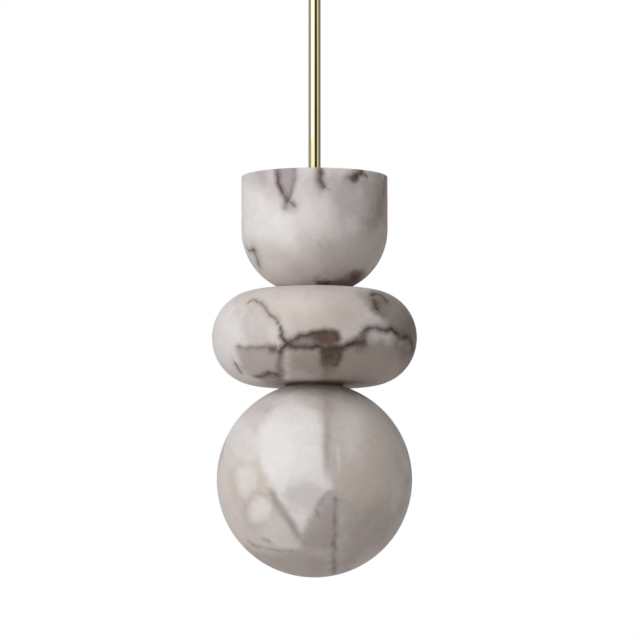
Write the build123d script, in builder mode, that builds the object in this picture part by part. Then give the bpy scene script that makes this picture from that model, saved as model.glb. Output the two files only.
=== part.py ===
"""Pendant light of three alabaster stones on a brass stem, with its ceiling mount.

An open bowl, a rounded disc and a ball are stacked on one hollow threaded pipe. The pipe
screws into a brass stem, the stem hangs from a swivel that turns and tilts, and the swivel
hangs from a strap inside a brass canopy. Each stone is turned hollow and lit by its own
six-sided light engine on the pipe.

Millimetres, +Z up. The origin is the centre of the ceiling face, and everything hangs below it.
Radii and thicknesses are real sizes. Heights with _z in their name are places along Z.
"""

import os
from math import radians, sin, cos, sqrt

from build123d import *

os.makedirs("parts", exist_ok=True)

# --- Stones: outer forms ---------------------------------------------------------------------
bowl_radius = 71.6
bowl_height = 110.6
bowl_straight = 52.3  # the upright part of its side, below the rim
bowl_foot_radius = 31.0
disc_radius = 100.2
disc_height = 91.4
disc_edge_reach = 44.0  # how far its rounded edge reaches in from the widest circle
ball_radius = 95.3
ball_seat_radius = 29.2  # the flat on which the ball is clamped
stone_wall = 12.0
bowl_floor = 12.0
ball_crown = 13.0  # stone left above the ledge inside the ball
stone_bore = 20.0  # radius of the hole through which each stone was hollowed
rim_round = 1.2
foot_round = 0.6

# --- Pipe, nuts and the plates between the stones ---------------------------------------------
pipe_radius = 5.0  # hollow M10 x 1 lamp pipe
pipe_bore = 3.5
thread_gap = 0.05  # radial play left for a thread or a slip fit
pipe_in_collar = 9.0
pipe_below_nut = 2.0  # pipe standing out below the last nut
cross_hole = 1.2
nut_flats = 14.0
nut_thickness = 4.0
joint_flange_thickness = 1.6
joint_flange_inset = 1.2  # how far the plate's edge stays inside the ball's flat
spigot_height = 5.0
spigot_chamfer = 0.8
spigot_gap = 0.3
gasket_thickness = 0.5
floor_gasket_thickness = 1.0
clamp_washer_radius = 25.0
clamp_washer_thickness = 2.0
toggle_thickness = 4.0
toggle_end_gap = 1.0  # from the toggle's ends to the edge of the ledge
toggle_side_gap = 3.0  # how much narrower than the bore it is, on each side
toggle_pad_thickness = 1.0

# --- Light engines ----------------------------------------------------------------------------
sink_flats = 22.0
engine_sides = 6
bowl_sink = 36.0
disc_sink = 44.0
ball_sink = 60.0
board_width = 10.0
board_thickness = 1.2
board_margin = 2.0  # bare sink at each end of a board
chip_width = 2.8
chip_length = 3.5
chip_height = 0.7
chip_pitch = 8.0
end_board_radius = 12.5
end_board_bore = 8.6
end_cover_radius = 23.0
end_cover_thickness = 2.0
end_cover_chamfer = 0.5
sleeve_radius = 22.0
sleeve_wall = 2.0
sleeve_groove = 0.8
sleeve_headroom = 8.0  # bare pipe above the nut of the bowl's engine
ball_pipe_above_engine = 30.0  # bare pipe between the toggle nuts and the ball's engine

# --- Stem and swivel --------------------------------------------------------------------------
stem_length = 250.0
stem_radius = 6.0
collar_radius = 8.0
collar_height = 10.0
collar_chamfer = 0.8
knuckle_radius = 7.0
knuckle_width = 10.0
neck_half_width = 6.0
knuckle_gap = 0.5
cheek_gap = 0.15
wire_bore = 2.0
yoke_radius = 12.0
yoke_roof = 3.0
yoke_plug = 5.0  # the part of the yoke that screws up into its cap
cap_plate = 4.5
cap_thread_radius = 10.0
tilt_limit = 45.0
tilt_stop_gap = 0.1
tilt_tip_radius = 2.0
tilt_tip_length = 2.0
tilt_shank_radius = 2.5
tilt_head_radius = 3.5
tilt_head_depth = 2.0
tilt_slot_width = 0.8
tilt_slot_depth = 0.6
running_gap = 0.03
hub_washer_thickness = 3.5
hub_flange = 2.5
hub_flange_radius = 9.4
journal_radius = 7.0
turn_limit = 165.0
stop_circle = 9.4
stop_pin_radius = 0.8
stop_pin_reach = 1.5
turn_gap = 0.1

# --- Ceiling mount ----------------------------------------------------------------------------
canopy_radius = 60.0
canopy_depth = 38.0
canopy_wall = 1.5
canopy_round = 2.0
strap_thickness = 1.6
strap_width = 18.0
strap_drop = 16.0  # how far the middle of the strap stands off the ceiling
strap_flat = 25.0  # half length of that lowered middle
strap_slope = 7.0
ear_gap = 1.1  # between the strap's ear and the canopy
ear_length = 19.0
ear_width = 14.0
slot_spacing = 84.0
slot_length = 14.0
slot_width = 4.6
side_screw_drop = 13.0
side_screw_radius = 2.0
side_screw_reach = 6.0
side_head_radius = 4.0
side_head_length = 5.0
side_head_chamfer = 0.5
nipple_rise = 4.5  # nipple standing above the strap
nipple_end_gap = 0.7  # from the nipple's end to the hub's lower face
driver_length = 72.0
driver_width = 26.0
driver_height = 22.0
driver_place_y = 28.0
driver_corner = 2.5
driver_top_round = 1.0
driver_lid_depth = 0.4
driver_lid_end = 10.0  # rim left at each end of the driver's sunk lid
driver_lid_side = 5.0
driver_lid_corner = 2.0
tape_thickness = 1.0
tape_inset = 4.0
block_length = 13.0
block_width = 22.0
block_height = 11.0
block_poles = 3
block_pitch = 7.0
block_place_x = 20.0
block_corner = 1.0
well_radius = 1.9
well_depth = 4.0
pole_screw_radius = 1.6
pole_screw_sink = 1.6  # from the well's mouth to the screw
block_screw_radius = 1.5
block_screw_reach = 2.2  # how far it goes into the block
block_screw_room = 0.55  # hole left beyond its end
block_screw_chamfer = 0.4
earth_screw_radius = 2.0
earth_head_radius = 3.4
earth_head_chamfer = 0.5
terminal_ring_radius = 4.5
terminal_thickness = 0.8
crimp_radius = 1.8
crimp_length = 6.0
core_radius = 0.9  # single cores inside the canopy
core_bend = 4.5
lead_radius = 1.3  # the driver's output lead
driver_lead_drop = 5.8  # its top run, below the ceiling
driver_lead_bend = 7.0
branch_radius = 1.0  # one lead to each light engine, inside the pipe
branch_bend = 2.0

# --- Places along Z, from the ceiling down ----------------------------------------------------
canopy_floor_z = canopy_wall - canopy_depth
strap_top_z = -strap_drop
strap_under_z = strap_top_z - strap_thickness
nipple_top_z = strap_top_z + nipple_rise
hub_top_z = -canopy_depth - hub_washer_thickness
cap_top_z = hub_top_z - turn_gap
cap_under_z = cap_top_z - cap_plate
hub_flange_z = cap_under_z - turn_gap
hub_end_z = hub_flange_z - hub_flange
yoke_top_z = hub_end_z - knuckle_gap
yoke_shoulder_z = yoke_top_z - yoke_plug
pivot_z = yoke_top_z - yoke_roof - knuckle_gap - knuckle_radius
collar_top_z = pivot_z - yoke_radius - knuckle_gap
stem_top_z = collar_top_z - collar_height
pipe_top_z = stem_top_z + pipe_in_collar
stem_end_z = stem_top_z - stem_length
sleeve_top_z = stem_end_z - end_cover_thickness
bowl_sink_z = sleeve_top_z - sleeve_headroom - nut_thickness
sleeve_end_z = bowl_sink_z - bowl_sink - nut_thickness
clamp_nut_z = sleeve_end_z - end_cover_thickness
clamp_washer_z = clamp_nut_z - nut_thickness
floor_gasket_z = clamp_washer_z - clamp_washer_thickness
bowl_floor_z = floor_gasket_z - floor_gasket_thickness
bowl_foot_z = bowl_floor_z - bowl_floor
rim_z = bowl_foot_z + bowl_height
bowl_bend_z = rim_z - bowl_straight
joint_gap = joint_flange_thickness + 2 * gasket_thickness
disc_top_z = bowl_foot_z - joint_gap
disc_middle_z = disc_top_z - disc_height / 2
disc_under_z = disc_top_z - disc_height
disc_sink_z = disc_middle_z + disc_sink / 2
ball_seat_z = disc_under_z - joint_gap
ball_centre_z = ball_seat_z - sqrt(ball_radius**2 - ball_seat_radius**2)
ball_ledge_z = ball_seat_z - ball_crown
toggle_top_z = ball_ledge_z - toggle_pad_thickness
toggle_nut_z = toggle_top_z - toggle_thickness
toggle_nut_end_z = toggle_nut_z - 2 * nut_thickness
ball_sink_z = toggle_nut_end_z - ball_pipe_above_engine
ball_sink_end_z = ball_sink_z - ball_sink
pipe_end_z = ball_sink_end_z - nut_thickness - pipe_below_nut

thread_radius = pipe_radius + thread_gap
same_size = 0.01  # radii closer than this are one and the same


def save(part, name):
    """Label one finished piece and write it as its own file."""
    part.label = name
    export_step(part, f"parts/{name}.step")


def ring(outer, inner, low_z, high_z):
    """A flat ring or tube about the Z axis."""
    with BuildPart() as made:
        with BuildSketch(Plane.XY.offset(low_z)):
            Circle(outer)
            Circle(inner, mode=Mode.SUBTRACT)
        extrude(amount=high_z - low_z)
    return made.part


def hex_nuts(tops, turned=False):
    """Hexagon nuts on the pipe, one below each height in tops; turned takes the corners off."""
    corner = nut_flats / sqrt(3)
    flat = nut_flats / 2
    slope = (corner - flat) / 2
    with BuildPart() as made:
        for top in tops:
            with BuildSketch(Plane.XY.offset(top)):
                RegularPolygon(flat, 6, major_radius=False)
                Circle(thread_radius, mode=Mode.SUBTRACT)
            extrude(amount=-nut_thickness)
            if turned:
                with BuildSketch(Plane.XZ):
                    with BuildLine():
                        Polyline(
                            (flat, top),
                            (corner, top - slope),
                            (corner, top - nut_thickness + slope),
                            (flat, top - nut_thickness),
                            (2 * flat, top - nut_thickness),
                            (2 * flat, top),
                            close=True,
                        )
                    make_face()
                revolve(axis=Axis.Z, mode=Mode.SUBTRACT)
    return made.part


def heat_sink(top_z, length):
    """A six-sided aluminium core that slides on the pipe."""
    with BuildPart() as made:
        with BuildSketch(Plane.XY.offset(top_z)):
            RegularPolygon(sink_flats / 2, engine_sides, major_radius=False, rotation=30)
            Circle(thread_radius, mode=Mode.SUBTRACT)
        extrude(amount=-length)
    return made.part


def led_boards(top_z, length):
    """Six boards, one on each side of a heat sink, with their light chips."""
    board_length = length - 2 * board_margin
    middle_z = top_z - length / 2
    chips = int(board_length / chip_pitch)
    face = sink_flats / 2
    with BuildPart() as made:
        with Locations((0, 0, middle_z)):
            with PolarLocations(face, engine_sides):
                Box(
                    board_thickness,
                    board_width,
                    board_length,
                    align=(Align.MIN, Align.CENTER, Align.CENTER),
                )
        for row in range(chips):
            chip_z = middle_z + (row - (chips - 1) / 2) * chip_pitch
            with Locations((0, 0, chip_z)):
                with PolarLocations(face + board_thickness, engine_sides):
                    Box(
                        chip_height,
                        chip_width,
                        chip_length,
                        align=(Align.MIN, Align.CENTER, Align.CENTER),
                    )
    return made.part


def joint_plate(under_z):
    """The turned plate that centres one stone over the next, with a spigot each way."""
    flange = ball_seat_radius - joint_flange_inset
    spigot = stone_bore - spigot_gap
    low = under_z + gasket_thickness
    high = low + joint_flange_thickness
    with BuildPart() as made:
        with BuildSketch(Plane.XY.offset(low)):
            Circle(flange)
        extrude(amount=joint_flange_thickness)
        with BuildSketch(Plane.XY.offset(low - spigot_height)):
            Circle(spigot)
        extrude(amount=high - low + 2 * spigot_height)
        spigot_ends = made.edges().filter_by(GeomType.CIRCLE).filter_by(
            lambda edge: abs(edge.radius - spigot) < same_size
        )
        chamfer(spigot_ends.group_by(Axis.Z)[0] + spigot_ends.group_by(Axis.Z)[-1], spigot_chamfer)
        with BuildSketch(Plane.XY.offset(low - spigot_height)):
            Circle(thread_radius)
        extrude(amount=high - low + 2 * spigot_height, mode=Mode.SUBTRACT)
    return made.part


def joint_gaskets(under_z):
    """The two soft rings that keep a joint plate off the stone above and below it."""
    outer = ball_seat_radius - joint_flange_inset
    with BuildPart() as made:
        for low in (under_z, under_z + gasket_thickness + joint_flange_thickness):
            with BuildSketch(Plane.XY.offset(low)):
                Circle(outer)
                Circle(stone_bore, mode=Mode.SUBTRACT)
            extrude(amount=gasket_thickness)
    return made.part


def wire(points, radius, bend):
    """A round wire along straight runs joined by arcs; bend is one radius, or one a corner."""
    with BuildPart() as made:
        with BuildLine() as route:
            FilletPolyline(*points, radius=bend)
        with BuildSketch(Plane(origin=route.line @ 0, z_dir=route.line % 0)):
            Circle(radius)
        sweep()
    return made.part


# --- Ceiling mount: fixed to the ceiling ------------------------------------------------------
ear_outer_x = canopy_radius - canopy_wall - ear_gap

# Bent steel strap: feet on the ceiling, a lowered middle, and an ear at each end.
with BuildPart() as mounting_strap:
    with BuildSketch(Plane.XZ):
        with BuildLine():
            Polyline(
                (-ear_outer_x, -ear_length),
                (-ear_outer_x, 0),
                (-strap_flat - strap_slope, 0),
                (-strap_flat, strap_top_z),
                (strap_flat, strap_top_z),
                (strap_flat + strap_slope, 0),
                (ear_outer_x, 0),
                (ear_outer_x, -ear_length),
            )
            offset(amount=strap_thickness, side=Side.RIGHT)
        make_face()
    extrude(amount=strap_width / 2, both=True)
    for end in (-1, 1):
        with BuildSketch(Plane.YZ.offset(end * canopy_radius)):
            with Locations((0, -ear_length)):
                Rectangle(2 * strap_width, 2 * (ear_length - 2 * strap_thickness))
                Rectangle(ear_width, 2 * ear_length, mode=Mode.SUBTRACT)
        extrude(amount=-end * (canopy_radius - ear_outer_x + 2 * strap_thickness), mode=Mode.SUBTRACT)
    with BuildSketch(Plane.XY):
        with Locations((-slot_spacing / 2, 0), (slot_spacing / 2, 0)):
            SlotOverall(slot_length, slot_width)
    extrude(amount=-2 * strap_thickness, mode=Mode.SUBTRACT)
    with BuildSketch(Plane.XY.offset(strap_top_z)):
        Circle(thread_radius)
        with Locations((block_place_x, 0)):
            Circle(block_screw_radius + thread_gap)
        with Locations((-block_place_x, 0)):
            Circle(earth_screw_radius + thread_gap)
    extrude(amount=-strap_thickness, mode=Mode.SUBTRACT)
    with BuildSketch(Plane.YZ.offset(-canopy_radius)):
        with Locations((0, -side_screw_drop)):
            Circle(side_screw_radius + thread_gap)
    extrude(amount=2 * canopy_radius, mode=Mode.SUBTRACT)
save(mounting_strap.part, "mounting_strap")

# Spun brass cup that covers the mount.
with BuildPart() as canopy:
    with BuildSketch(Plane.XY):
        Circle(canopy_radius)
    extrude(amount=-canopy_depth)
    fillet(canopy.edges().sort_by(Axis.Z)[0], canopy_round)
    with BuildSketch(Plane.XY):
        Circle(canopy_radius - canopy_wall)
    extrude(amount=-(canopy_depth - canopy_wall), mode=Mode.SUBTRACT)
    with BuildSketch(Plane.XY.offset(-canopy_depth)):
        Circle(thread_radius + spigot_gap)
    extrude(amount=canopy_wall, mode=Mode.SUBTRACT)
    with BuildSketch(Plane.YZ.offset(-canopy_radius)):
        with Locations((0, -side_screw_drop)):
            Circle(side_screw_radius + spigot_gap)
    extrude(amount=2 * canopy_radius, mode=Mode.SUBTRACT)
save(canopy.part, "canopy")

# Knurled screws through the canopy's side into the strap's ears.
with BuildPart() as canopy_side_screws:
    for side in (-1, 1):
        with BuildSketch(Plane(origin=(side * canopy_radius, 0, -side_screw_drop), z_dir=(side, 0, 0))):
            Circle(side_head_radius)
        extrude(amount=side_head_length)
        with BuildSketch(Plane(origin=(side * canopy_radius, 0, -side_screw_drop), z_dir=(side, 0, 0))):
            Circle(side_screw_radius)
        extrude(amount=-side_screw_reach)
    heads = canopy_side_screws.edges().filter_by(GeomType.CIRCLE).group_by(Axis.X)
    chamfer(heads[0] + heads[-1], side_head_chamfer)
save(canopy_side_screws.part, "canopy_side_screws")

save(ring(pipe_radius, pipe_bore, hub_end_z + nipple_end_gap, nipple_top_z), "ceiling_nipple")
save(hex_nuts([strap_top_z + nut_thickness, strap_under_z], turned=True), "strap_nuts")

# Driver, held to the canopy's floor by adhesive tape.
driver_under_z = canopy_floor_z + tape_thickness
with BuildPart() as led_driver:
    with Locations((0, driver_place_y, driver_under_z)):
        Box(
            driver_length,
            driver_width,
            driver_height,
            align=(Align.CENTER, Align.CENTER, Align.MIN),
        )
    fillet(led_driver.edges().filter_by(Axis.Z), driver_corner)
    fillet(led_driver.faces().sort_by(Axis.Z)[-1].edges(), driver_top_round)
    lid = led_driver.faces().sort_by(Axis.Z)[-1]
    with BuildSketch(lid):
        RectangleRounded(
            driver_length - 2 * driver_lid_end, driver_width - 2 * driver_lid_side, driver_lid_corner
        )
    extrude(amount=-driver_lid_depth, mode=Mode.SUBTRACT)
save(led_driver.part, "led_driver")

with BuildPart() as driver_tape:
    with BuildSketch(Plane.XY.offset(canopy_floor_z)):
        with Locations((0, driver_place_y)):
            Rectangle(driver_length - 2 * tape_inset, driver_width - 2 * tape_inset)
    extrude(amount=tape_thickness)
save(driver_tape.part, "driver_tape")

# Terminal block under the strap: poles in a row along X, ports facing the driver.
pole_xs = [block_place_x + (pole - (block_poles - 1) / 2) * block_pitch for pole in range(block_poles)]
block_under_z = strap_under_z - block_height
core_z = strap_under_z - block_height / 2
with BuildPart() as terminal_block:
    with Locations((block_place_x, 0, block_under_z)):
        Box(
            block_width,
            block_length,
            block_height,
            align=(Align.CENTER, Align.CENTER, Align.MIN),
        )
    fillet(terminal_block.edges().filter_by(Axis.Z), block_corner)
    with BuildSketch(Plane.XY.offset(block_under_z)):
        with Locations(*[(x, block_length / 4) for x in pole_xs]):
            Circle(well_radius)
    extrude(amount=well_depth, mode=Mode.SUBTRACT)
    with BuildSketch(Plane.XY.offset(strap_under_z)):
        with Locations((block_place_x, 0)):
            Circle(block_screw_radius + thread_gap)
    extrude(amount=-block_screw_reach - block_screw_room, mode=Mode.SUBTRACT)
save(terminal_block.part, "terminal_block")

with BuildPart() as terminal_pole_screws:
    with BuildSketch(Plane.XY.offset(block_under_z + well_depth)):
        with Locations(*[(x, block_length / 4) for x in pole_xs]):
            Circle(pole_screw_radius)
    extrude(amount=pole_screw_sink - well_depth)
save(terminal_pole_screws.part, "terminal_pole_screws")

with BuildPart() as terminal_fixing_screw:
    with BuildSketch(Plane.XY.offset(strap_top_z)):
        with Locations((block_place_x, 0)):
            Circle(2 * block_screw_radius)
    extrude(amount=block_screw_radius)
    with BuildSketch(Plane.XY.offset(strap_top_z)):
        with Locations((block_place_x, 0)):
            Circle(block_screw_radius)
    extrude(amount=-strap_thickness - block_screw_reach)
    chamfer(terminal_fixing_screw.edges().sort_by(Axis.Z)[-1], block_screw_chamfer)
save(terminal_fixing_screw.part, "terminal_fixing_screw")

# Earth screw under the strap, and the ring terminal on the earth core's end.
crimp_z = strap_under_z - crimp_radius
with BuildPart() as earth_ring_terminal:
    with BuildSketch(Plane.XY.offset(strap_under_z)):
        with Locations((-block_place_x, 0)):
            Circle(terminal_ring_radius)
            Circle(earth_screw_radius + thread_gap, mode=Mode.SUBTRACT)
    extrude(amount=-terminal_thickness)
    with BuildSketch(Plane.XZ.offset(terminal_ring_radius)):
        with Locations((-block_place_x, crimp_z)):
            Circle(crimp_radius)
            Circle(core_radius, mode=Mode.SUBTRACT)
    extrude(amount=crimp_length)
    with BuildSketch(Plane.XY.offset(strap_under_z)):
        with Locations((-block_place_x, -terminal_ring_radius)):
            Rectangle(crimp_radius, 2 * crimp_radius)
    extrude(amount=-terminal_thickness)
save(earth_ring_terminal.part, "earth_ring_terminal")

earth_head_z = strap_under_z - terminal_thickness
with BuildPart() as earth_screw:
    with BuildSketch(Plane.XY.offset(earth_head_z)):
        with Locations((-block_place_x, 0)):
            Circle(earth_head_radius)
    extrude(amount=-earth_screw_radius)
    chamfer(earth_screw.edges().sort_by(Axis.Z)[0], earth_head_chamfer)
    with BuildSketch(Plane.XY.offset(earth_head_z)):
        with Locations((-block_place_x, 0)):
            Circle(earth_screw_radius)
    extrude(amount=terminal_thickness + strap_thickness + earth_screw_radius)
save(earth_screw.part, "earth_screw")

# Two short cores from the terminal block straight into the driver's near side.
block_near_y = block_length / 2
driver_near_y = driver_place_y - driver_width / 2
with BuildPart() as mains_cores:
    with BuildSketch(Plane.XZ.offset(-driver_near_y)):
        with Locations(*[(x, core_z) for x in pole_xs[1:]]):
            Circle(core_radius)
    extrude(amount=driver_near_y - block_near_y)
save(mains_cores.part, "mains_cores")

# Earth core from its ring terminal to the block's first pole.
crimp_end_y = -terminal_ring_radius - crimp_length
earth_turn_y = crimp_end_y - 2 * core_bend
earth_route = [
    (-block_place_x, crimp_end_y + crimp_length / 2, crimp_z),
    (-block_place_x, earth_turn_y, crimp_z),
    (pole_xs[0], earth_turn_y, core_z),
    (pole_xs[0], -block_near_y, core_z),
]
save(wire(earth_route, core_radius, core_bend), "earth_core")

# The driver's output lead: out, up, across to the nipple and down through it.
lead_start_z = driver_under_z + driver_height / 2
lead_turn_x = -driver_length / 2 - 1.2 * driver_lead_bend
driver_lead_route = [
    (-driver_length / 2, driver_place_y, lead_start_z),
    (lead_turn_x, driver_place_y, lead_start_z),
    (lead_turn_x, driver_place_y, -driver_lead_drop),
    (0, 0, -driver_lead_drop),
    (0, 0, hub_end_z),
]
nipple_bend = -driver_lead_drop - nipple_top_z - spigot_gap
save(
    wire(driver_lead_route, lead_radius, [driver_lead_bend, driver_lead_bend, nipple_bend]),
    "driver_lead",
)

# --- Swivel: hub fixed to the nipple, cap and yoke that turn, knuckle that tilts --------------
with BuildPart() as hub_washer:
    with BuildSketch(Plane.XY.offset(hub_top_z)):
        Circle(yoke_radius)
        Circle(thread_radius, mode=Mode.SUBTRACT)
    extrude(amount=hub_washer_thickness)
    with BuildSketch(Plane.XY.offset(hub_top_z)):
        with Locations((0, stop_circle)):
            Circle(stop_pin_radius)
    extrude(amount=stop_pin_reach, mode=Mode.SUBTRACT)
save(hub_washer.part, "hub_washer")

with BuildPart() as turn_stop_pin:
    with BuildSketch(Plane.XY.offset(hub_top_z + stop_pin_reach)):
        with Locations((0, stop_circle)):
            Circle(stop_pin_radius)
    extrude(amount=-2 * stop_pin_reach)
save(turn_stop_pin.part, "turn_stop_pin")

with BuildPart() as swivel_hub:
    with BuildSketch(Plane.XZ):
        with BuildLine():
            Polyline(
                (thread_radius, hub_top_z),
                (journal_radius, hub_top_z),
                (journal_radius, hub_flange_z),
                (hub_flange_radius, hub_flange_z),
                (hub_flange_radius, hub_end_z),
                (thread_radius, hub_end_z),
                close=True,
            )
        make_face()
    revolve(axis=Axis.Z)
save(swivel_hub.part, "swivel_hub")

# Cap: turns on the hub's journal and rests on its flange. A long curved groove in its top
# lets the stop pin travel as far as the turn allows.
groove_width = 2 * (stop_pin_radius + turn_gap)
with BuildLine() as stop_travel:
    CenterArc((0, 0), stop_circle, 90 - turn_limit, 2 * turn_limit)
with BuildPart() as swivel_cap:
    with BuildSketch(Plane.XZ):
        with BuildLine():
            Polyline(
                (journal_radius + running_gap, cap_top_z),
                (yoke_radius, cap_top_z),
                (yoke_radius, yoke_shoulder_z),
                (cap_thread_radius, yoke_shoulder_z),
                (cap_thread_radius, cap_under_z),
                (journal_radius + running_gap, cap_under_z),
                close=True,
            )
        make_face()
    revolve(axis=Axis.Z)
    with BuildSketch(Plane.XY.offset(cap_top_z)):
        SlotArc(stop_travel.edge(), groove_width)
    extrude(amount=-stop_pin_reach - turn_gap, mode=Mode.SUBTRACT)
save(swivel_cap.part, "swivel_cap")

# Yoke: screws up into the cap. Its slot holds the knuckle, and the slot's slanted sides stop
# the neck at the end of the tilt.
with BuildPart() as swivel_yoke:
    with BuildSketch(Plane.XZ):
        with BuildLine():
            Polyline(
                (0, yoke_top_z),
                (cap_thread_radius - thread_gap, yoke_top_z),
                (cap_thread_radius - thread_gap, yoke_shoulder_z),
                (yoke_radius, yoke_shoulder_z),
                (yoke_radius, pivot_z - yoke_radius),
                (0, pivot_z - yoke_radius),
                close=True,
            )
        make_face()
    revolve(axis=Axis.Z)
    # the lower end is rounded about the pivot, so the collar swings past it
    with BuildSketch(Plane.YZ.offset(-yoke_radius)):
        with Locations((0, pivot_z - yoke_radius)):
            Rectangle(4 * yoke_radius, 2 * yoke_radius)
        with Locations((0, pivot_z)):
            Circle(yoke_radius, mode=Mode.SUBTRACT)
    extrude(amount=2 * yoke_radius, mode=Mode.SUBTRACT)
    # slot: a round pocket for the knuckle and the sweep of the neck
    stop_offset = neck_half_width + tilt_stop_gap
    tilt = radians(tilt_limit)
    slot_y = stop_offset * cos(tilt)
    slot_z = stop_offset * sin(tilt)
    slot_reach = 2 * yoke_radius
    with BuildSketch(Plane.YZ.offset(-knuckle_width / 2 - cheek_gap)):
        with BuildLine():
            Polyline(
                (slot_y, pivot_z + slot_z),
                (slot_y + slot_reach * sin(tilt), pivot_z + slot_z - slot_reach * cos(tilt)),
                (-slot_y - slot_reach * sin(tilt), pivot_z + slot_z - slot_reach * cos(tilt)),
                (-slot_y, pivot_z + slot_z),
                close=True,
            )
        make_face()
        with Locations((0, pivot_z)):
            Circle(knuckle_radius + knuckle_gap)
    extrude(amount=knuckle_width + 2 * cheek_gap, mode=Mode.SUBTRACT)
    with BuildSketch(Plane.XY.offset(yoke_top_z)):
        Circle(pipe_bore)
    extrude(amount=-yoke_roof - knuckle_gap, mode=Mode.SUBTRACT)
    # threaded holes for the pivot screws, with recesses for their heads
    with BuildSketch(Plane.YZ.offset(-yoke_radius)):
        with Locations((0, pivot_z)):
            Circle(tilt_shank_radius + thread_gap)
    extrude(amount=2 * yoke_radius, mode=Mode.SUBTRACT)
    for side in (-1, 1):
        with BuildSketch(Plane.YZ.offset(side * yoke_radius)):
            with Locations((0, pivot_z)):
                Circle(tilt_head_radius + thread_gap)
        extrude(amount=-side * tilt_head_depth, mode=Mode.SUBTRACT)
save(swivel_yoke.part, "swivel_yoke")

# Pivot screws: threaded through the yoke's cheeks, with plain tips that carry the knuckle.
head_inner_x = yoke_radius - tilt_head_depth
head_outer_x = sqrt(yoke_radius**2 - tilt_head_radius**2)
tip_end_x = knuckle_width / 2 - tilt_tip_length
with BuildPart() as pivot_screws:
    for side in (-1, 1):
        for radius, near_x, far_x in (
            (tilt_tip_radius, tip_end_x, head_inner_x),
            (tilt_shank_radius, knuckle_width / 2 + 2 * cheek_gap, head_inner_x),
            (tilt_head_radius, head_inner_x, head_outer_x),
        ):
            with BuildSketch(Plane.YZ.offset(side * near_x)):
                with Locations((0, pivot_z)):
                    Circle(radius)
            extrude(amount=side * (far_x - near_x))
        with BuildSketch(Plane.YZ.offset(side * head_outer_x)):
            with Locations((0, pivot_z)):
                Rectangle(2 * tilt_head_radius, tilt_slot_width)
        extrude(amount=-side * tilt_slot_depth, mode=Mode.SUBTRACT)
save(pivot_screws.part, "pivot_screws")

# --- Stem: tilts and turns with everything below ----------------------------------------------
with BuildPart() as stem_knuckle:
    with BuildSketch(Plane.YZ.offset(-knuckle_width / 2)):
        with Locations((0, pivot_z)):
            Circle(knuckle_radius)
        with Locations((0, (pivot_z + collar_top_z) / 2)):
            Rectangle(2 * neck_half_width, pivot_z - collar_top_z)
    extrude(amount=knuckle_width)
    with BuildSketch(Plane.XY.offset(collar_top_z)):
        Circle(collar_radius)
    extrude(amount=-collar_height)
    chamfer(stem_knuckle.edges().filter_by(GeomType.CIRCLE).group_by(Axis.Z)[0], collar_chamfer)
    with BuildSketch(Plane.XY.offset(stem_top_z)):
        Circle(thread_radius)
    extrude(amount=pipe_in_collar, mode=Mode.SUBTRACT)
    with BuildSketch(Plane.XY.offset(stem_top_z)):
        Circle(wire_bore)
    extrude(amount=pivot_z + 2 * knuckle_radius - stem_top_z, mode=Mode.SUBTRACT)
    for side in (-1, 1):
        with BuildSketch(Plane.YZ.offset(side * knuckle_width / 2)):
            with Locations((0, pivot_z)):
                Circle(tilt_tip_radius + running_gap)
        extrude(amount=-side * (tilt_tip_length + tilt_stop_gap), mode=Mode.SUBTRACT)
save(stem_knuckle.part, "stem_knuckle")

save(ring(stem_radius, thread_radius, stem_end_z, stem_top_z), "stem_tube")

# One lead to each light engine: down inside the pipe, out through a cross hole and down to
# the end of a board. Each has its own side of the pipe.
lead_end_x = sink_flats / 2 + branch_radius + thread_gap
branches = [
    ("bowl_lead", 0, bowl_sink_z),
    ("disc_lead", 120, disc_sink_z),
    ("ball_lead", 240, ball_sink_z),
]
exit_rise = nut_thickness + branch_bend
with BuildPart() as threaded_pipe:
    with BuildSketch(Plane.XY.offset(pipe_end_z)):
        Circle(pipe_radius)
        Circle(pipe_bore, mode=Mode.SUBTRACT)
    extrude(amount=pipe_top_z - pipe_end_z)
    for name, turn, sink_z in branches:
        outwards = (cos(radians(turn)), sin(radians(turn)), 0)
        with BuildSketch(Plane(origin=(0, 0, sink_z + exit_rise), z_dir=outwards)):
            Circle(cross_hole)
        extrude(amount=2 * pipe_radius, mode=Mode.SUBTRACT)
save(threaded_pipe.part, "threaded_pipe")

for name, turn, sink_z in branches:
    inside = pipe_bore - branch_radius - thread_gap
    route = [
        (inside, 0, pipe_top_z),
        (inside, 0, sink_z + exit_rise),
        (lead_end_x, 0, sink_z + exit_rise),
        (lead_end_x, 0, sink_z - board_margin),
    ]
    lead = wire(route, branch_radius, [branch_radius + thread_gap, branch_bend])
    save(Rotation(0, 0, turn) * lead, name)

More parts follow.
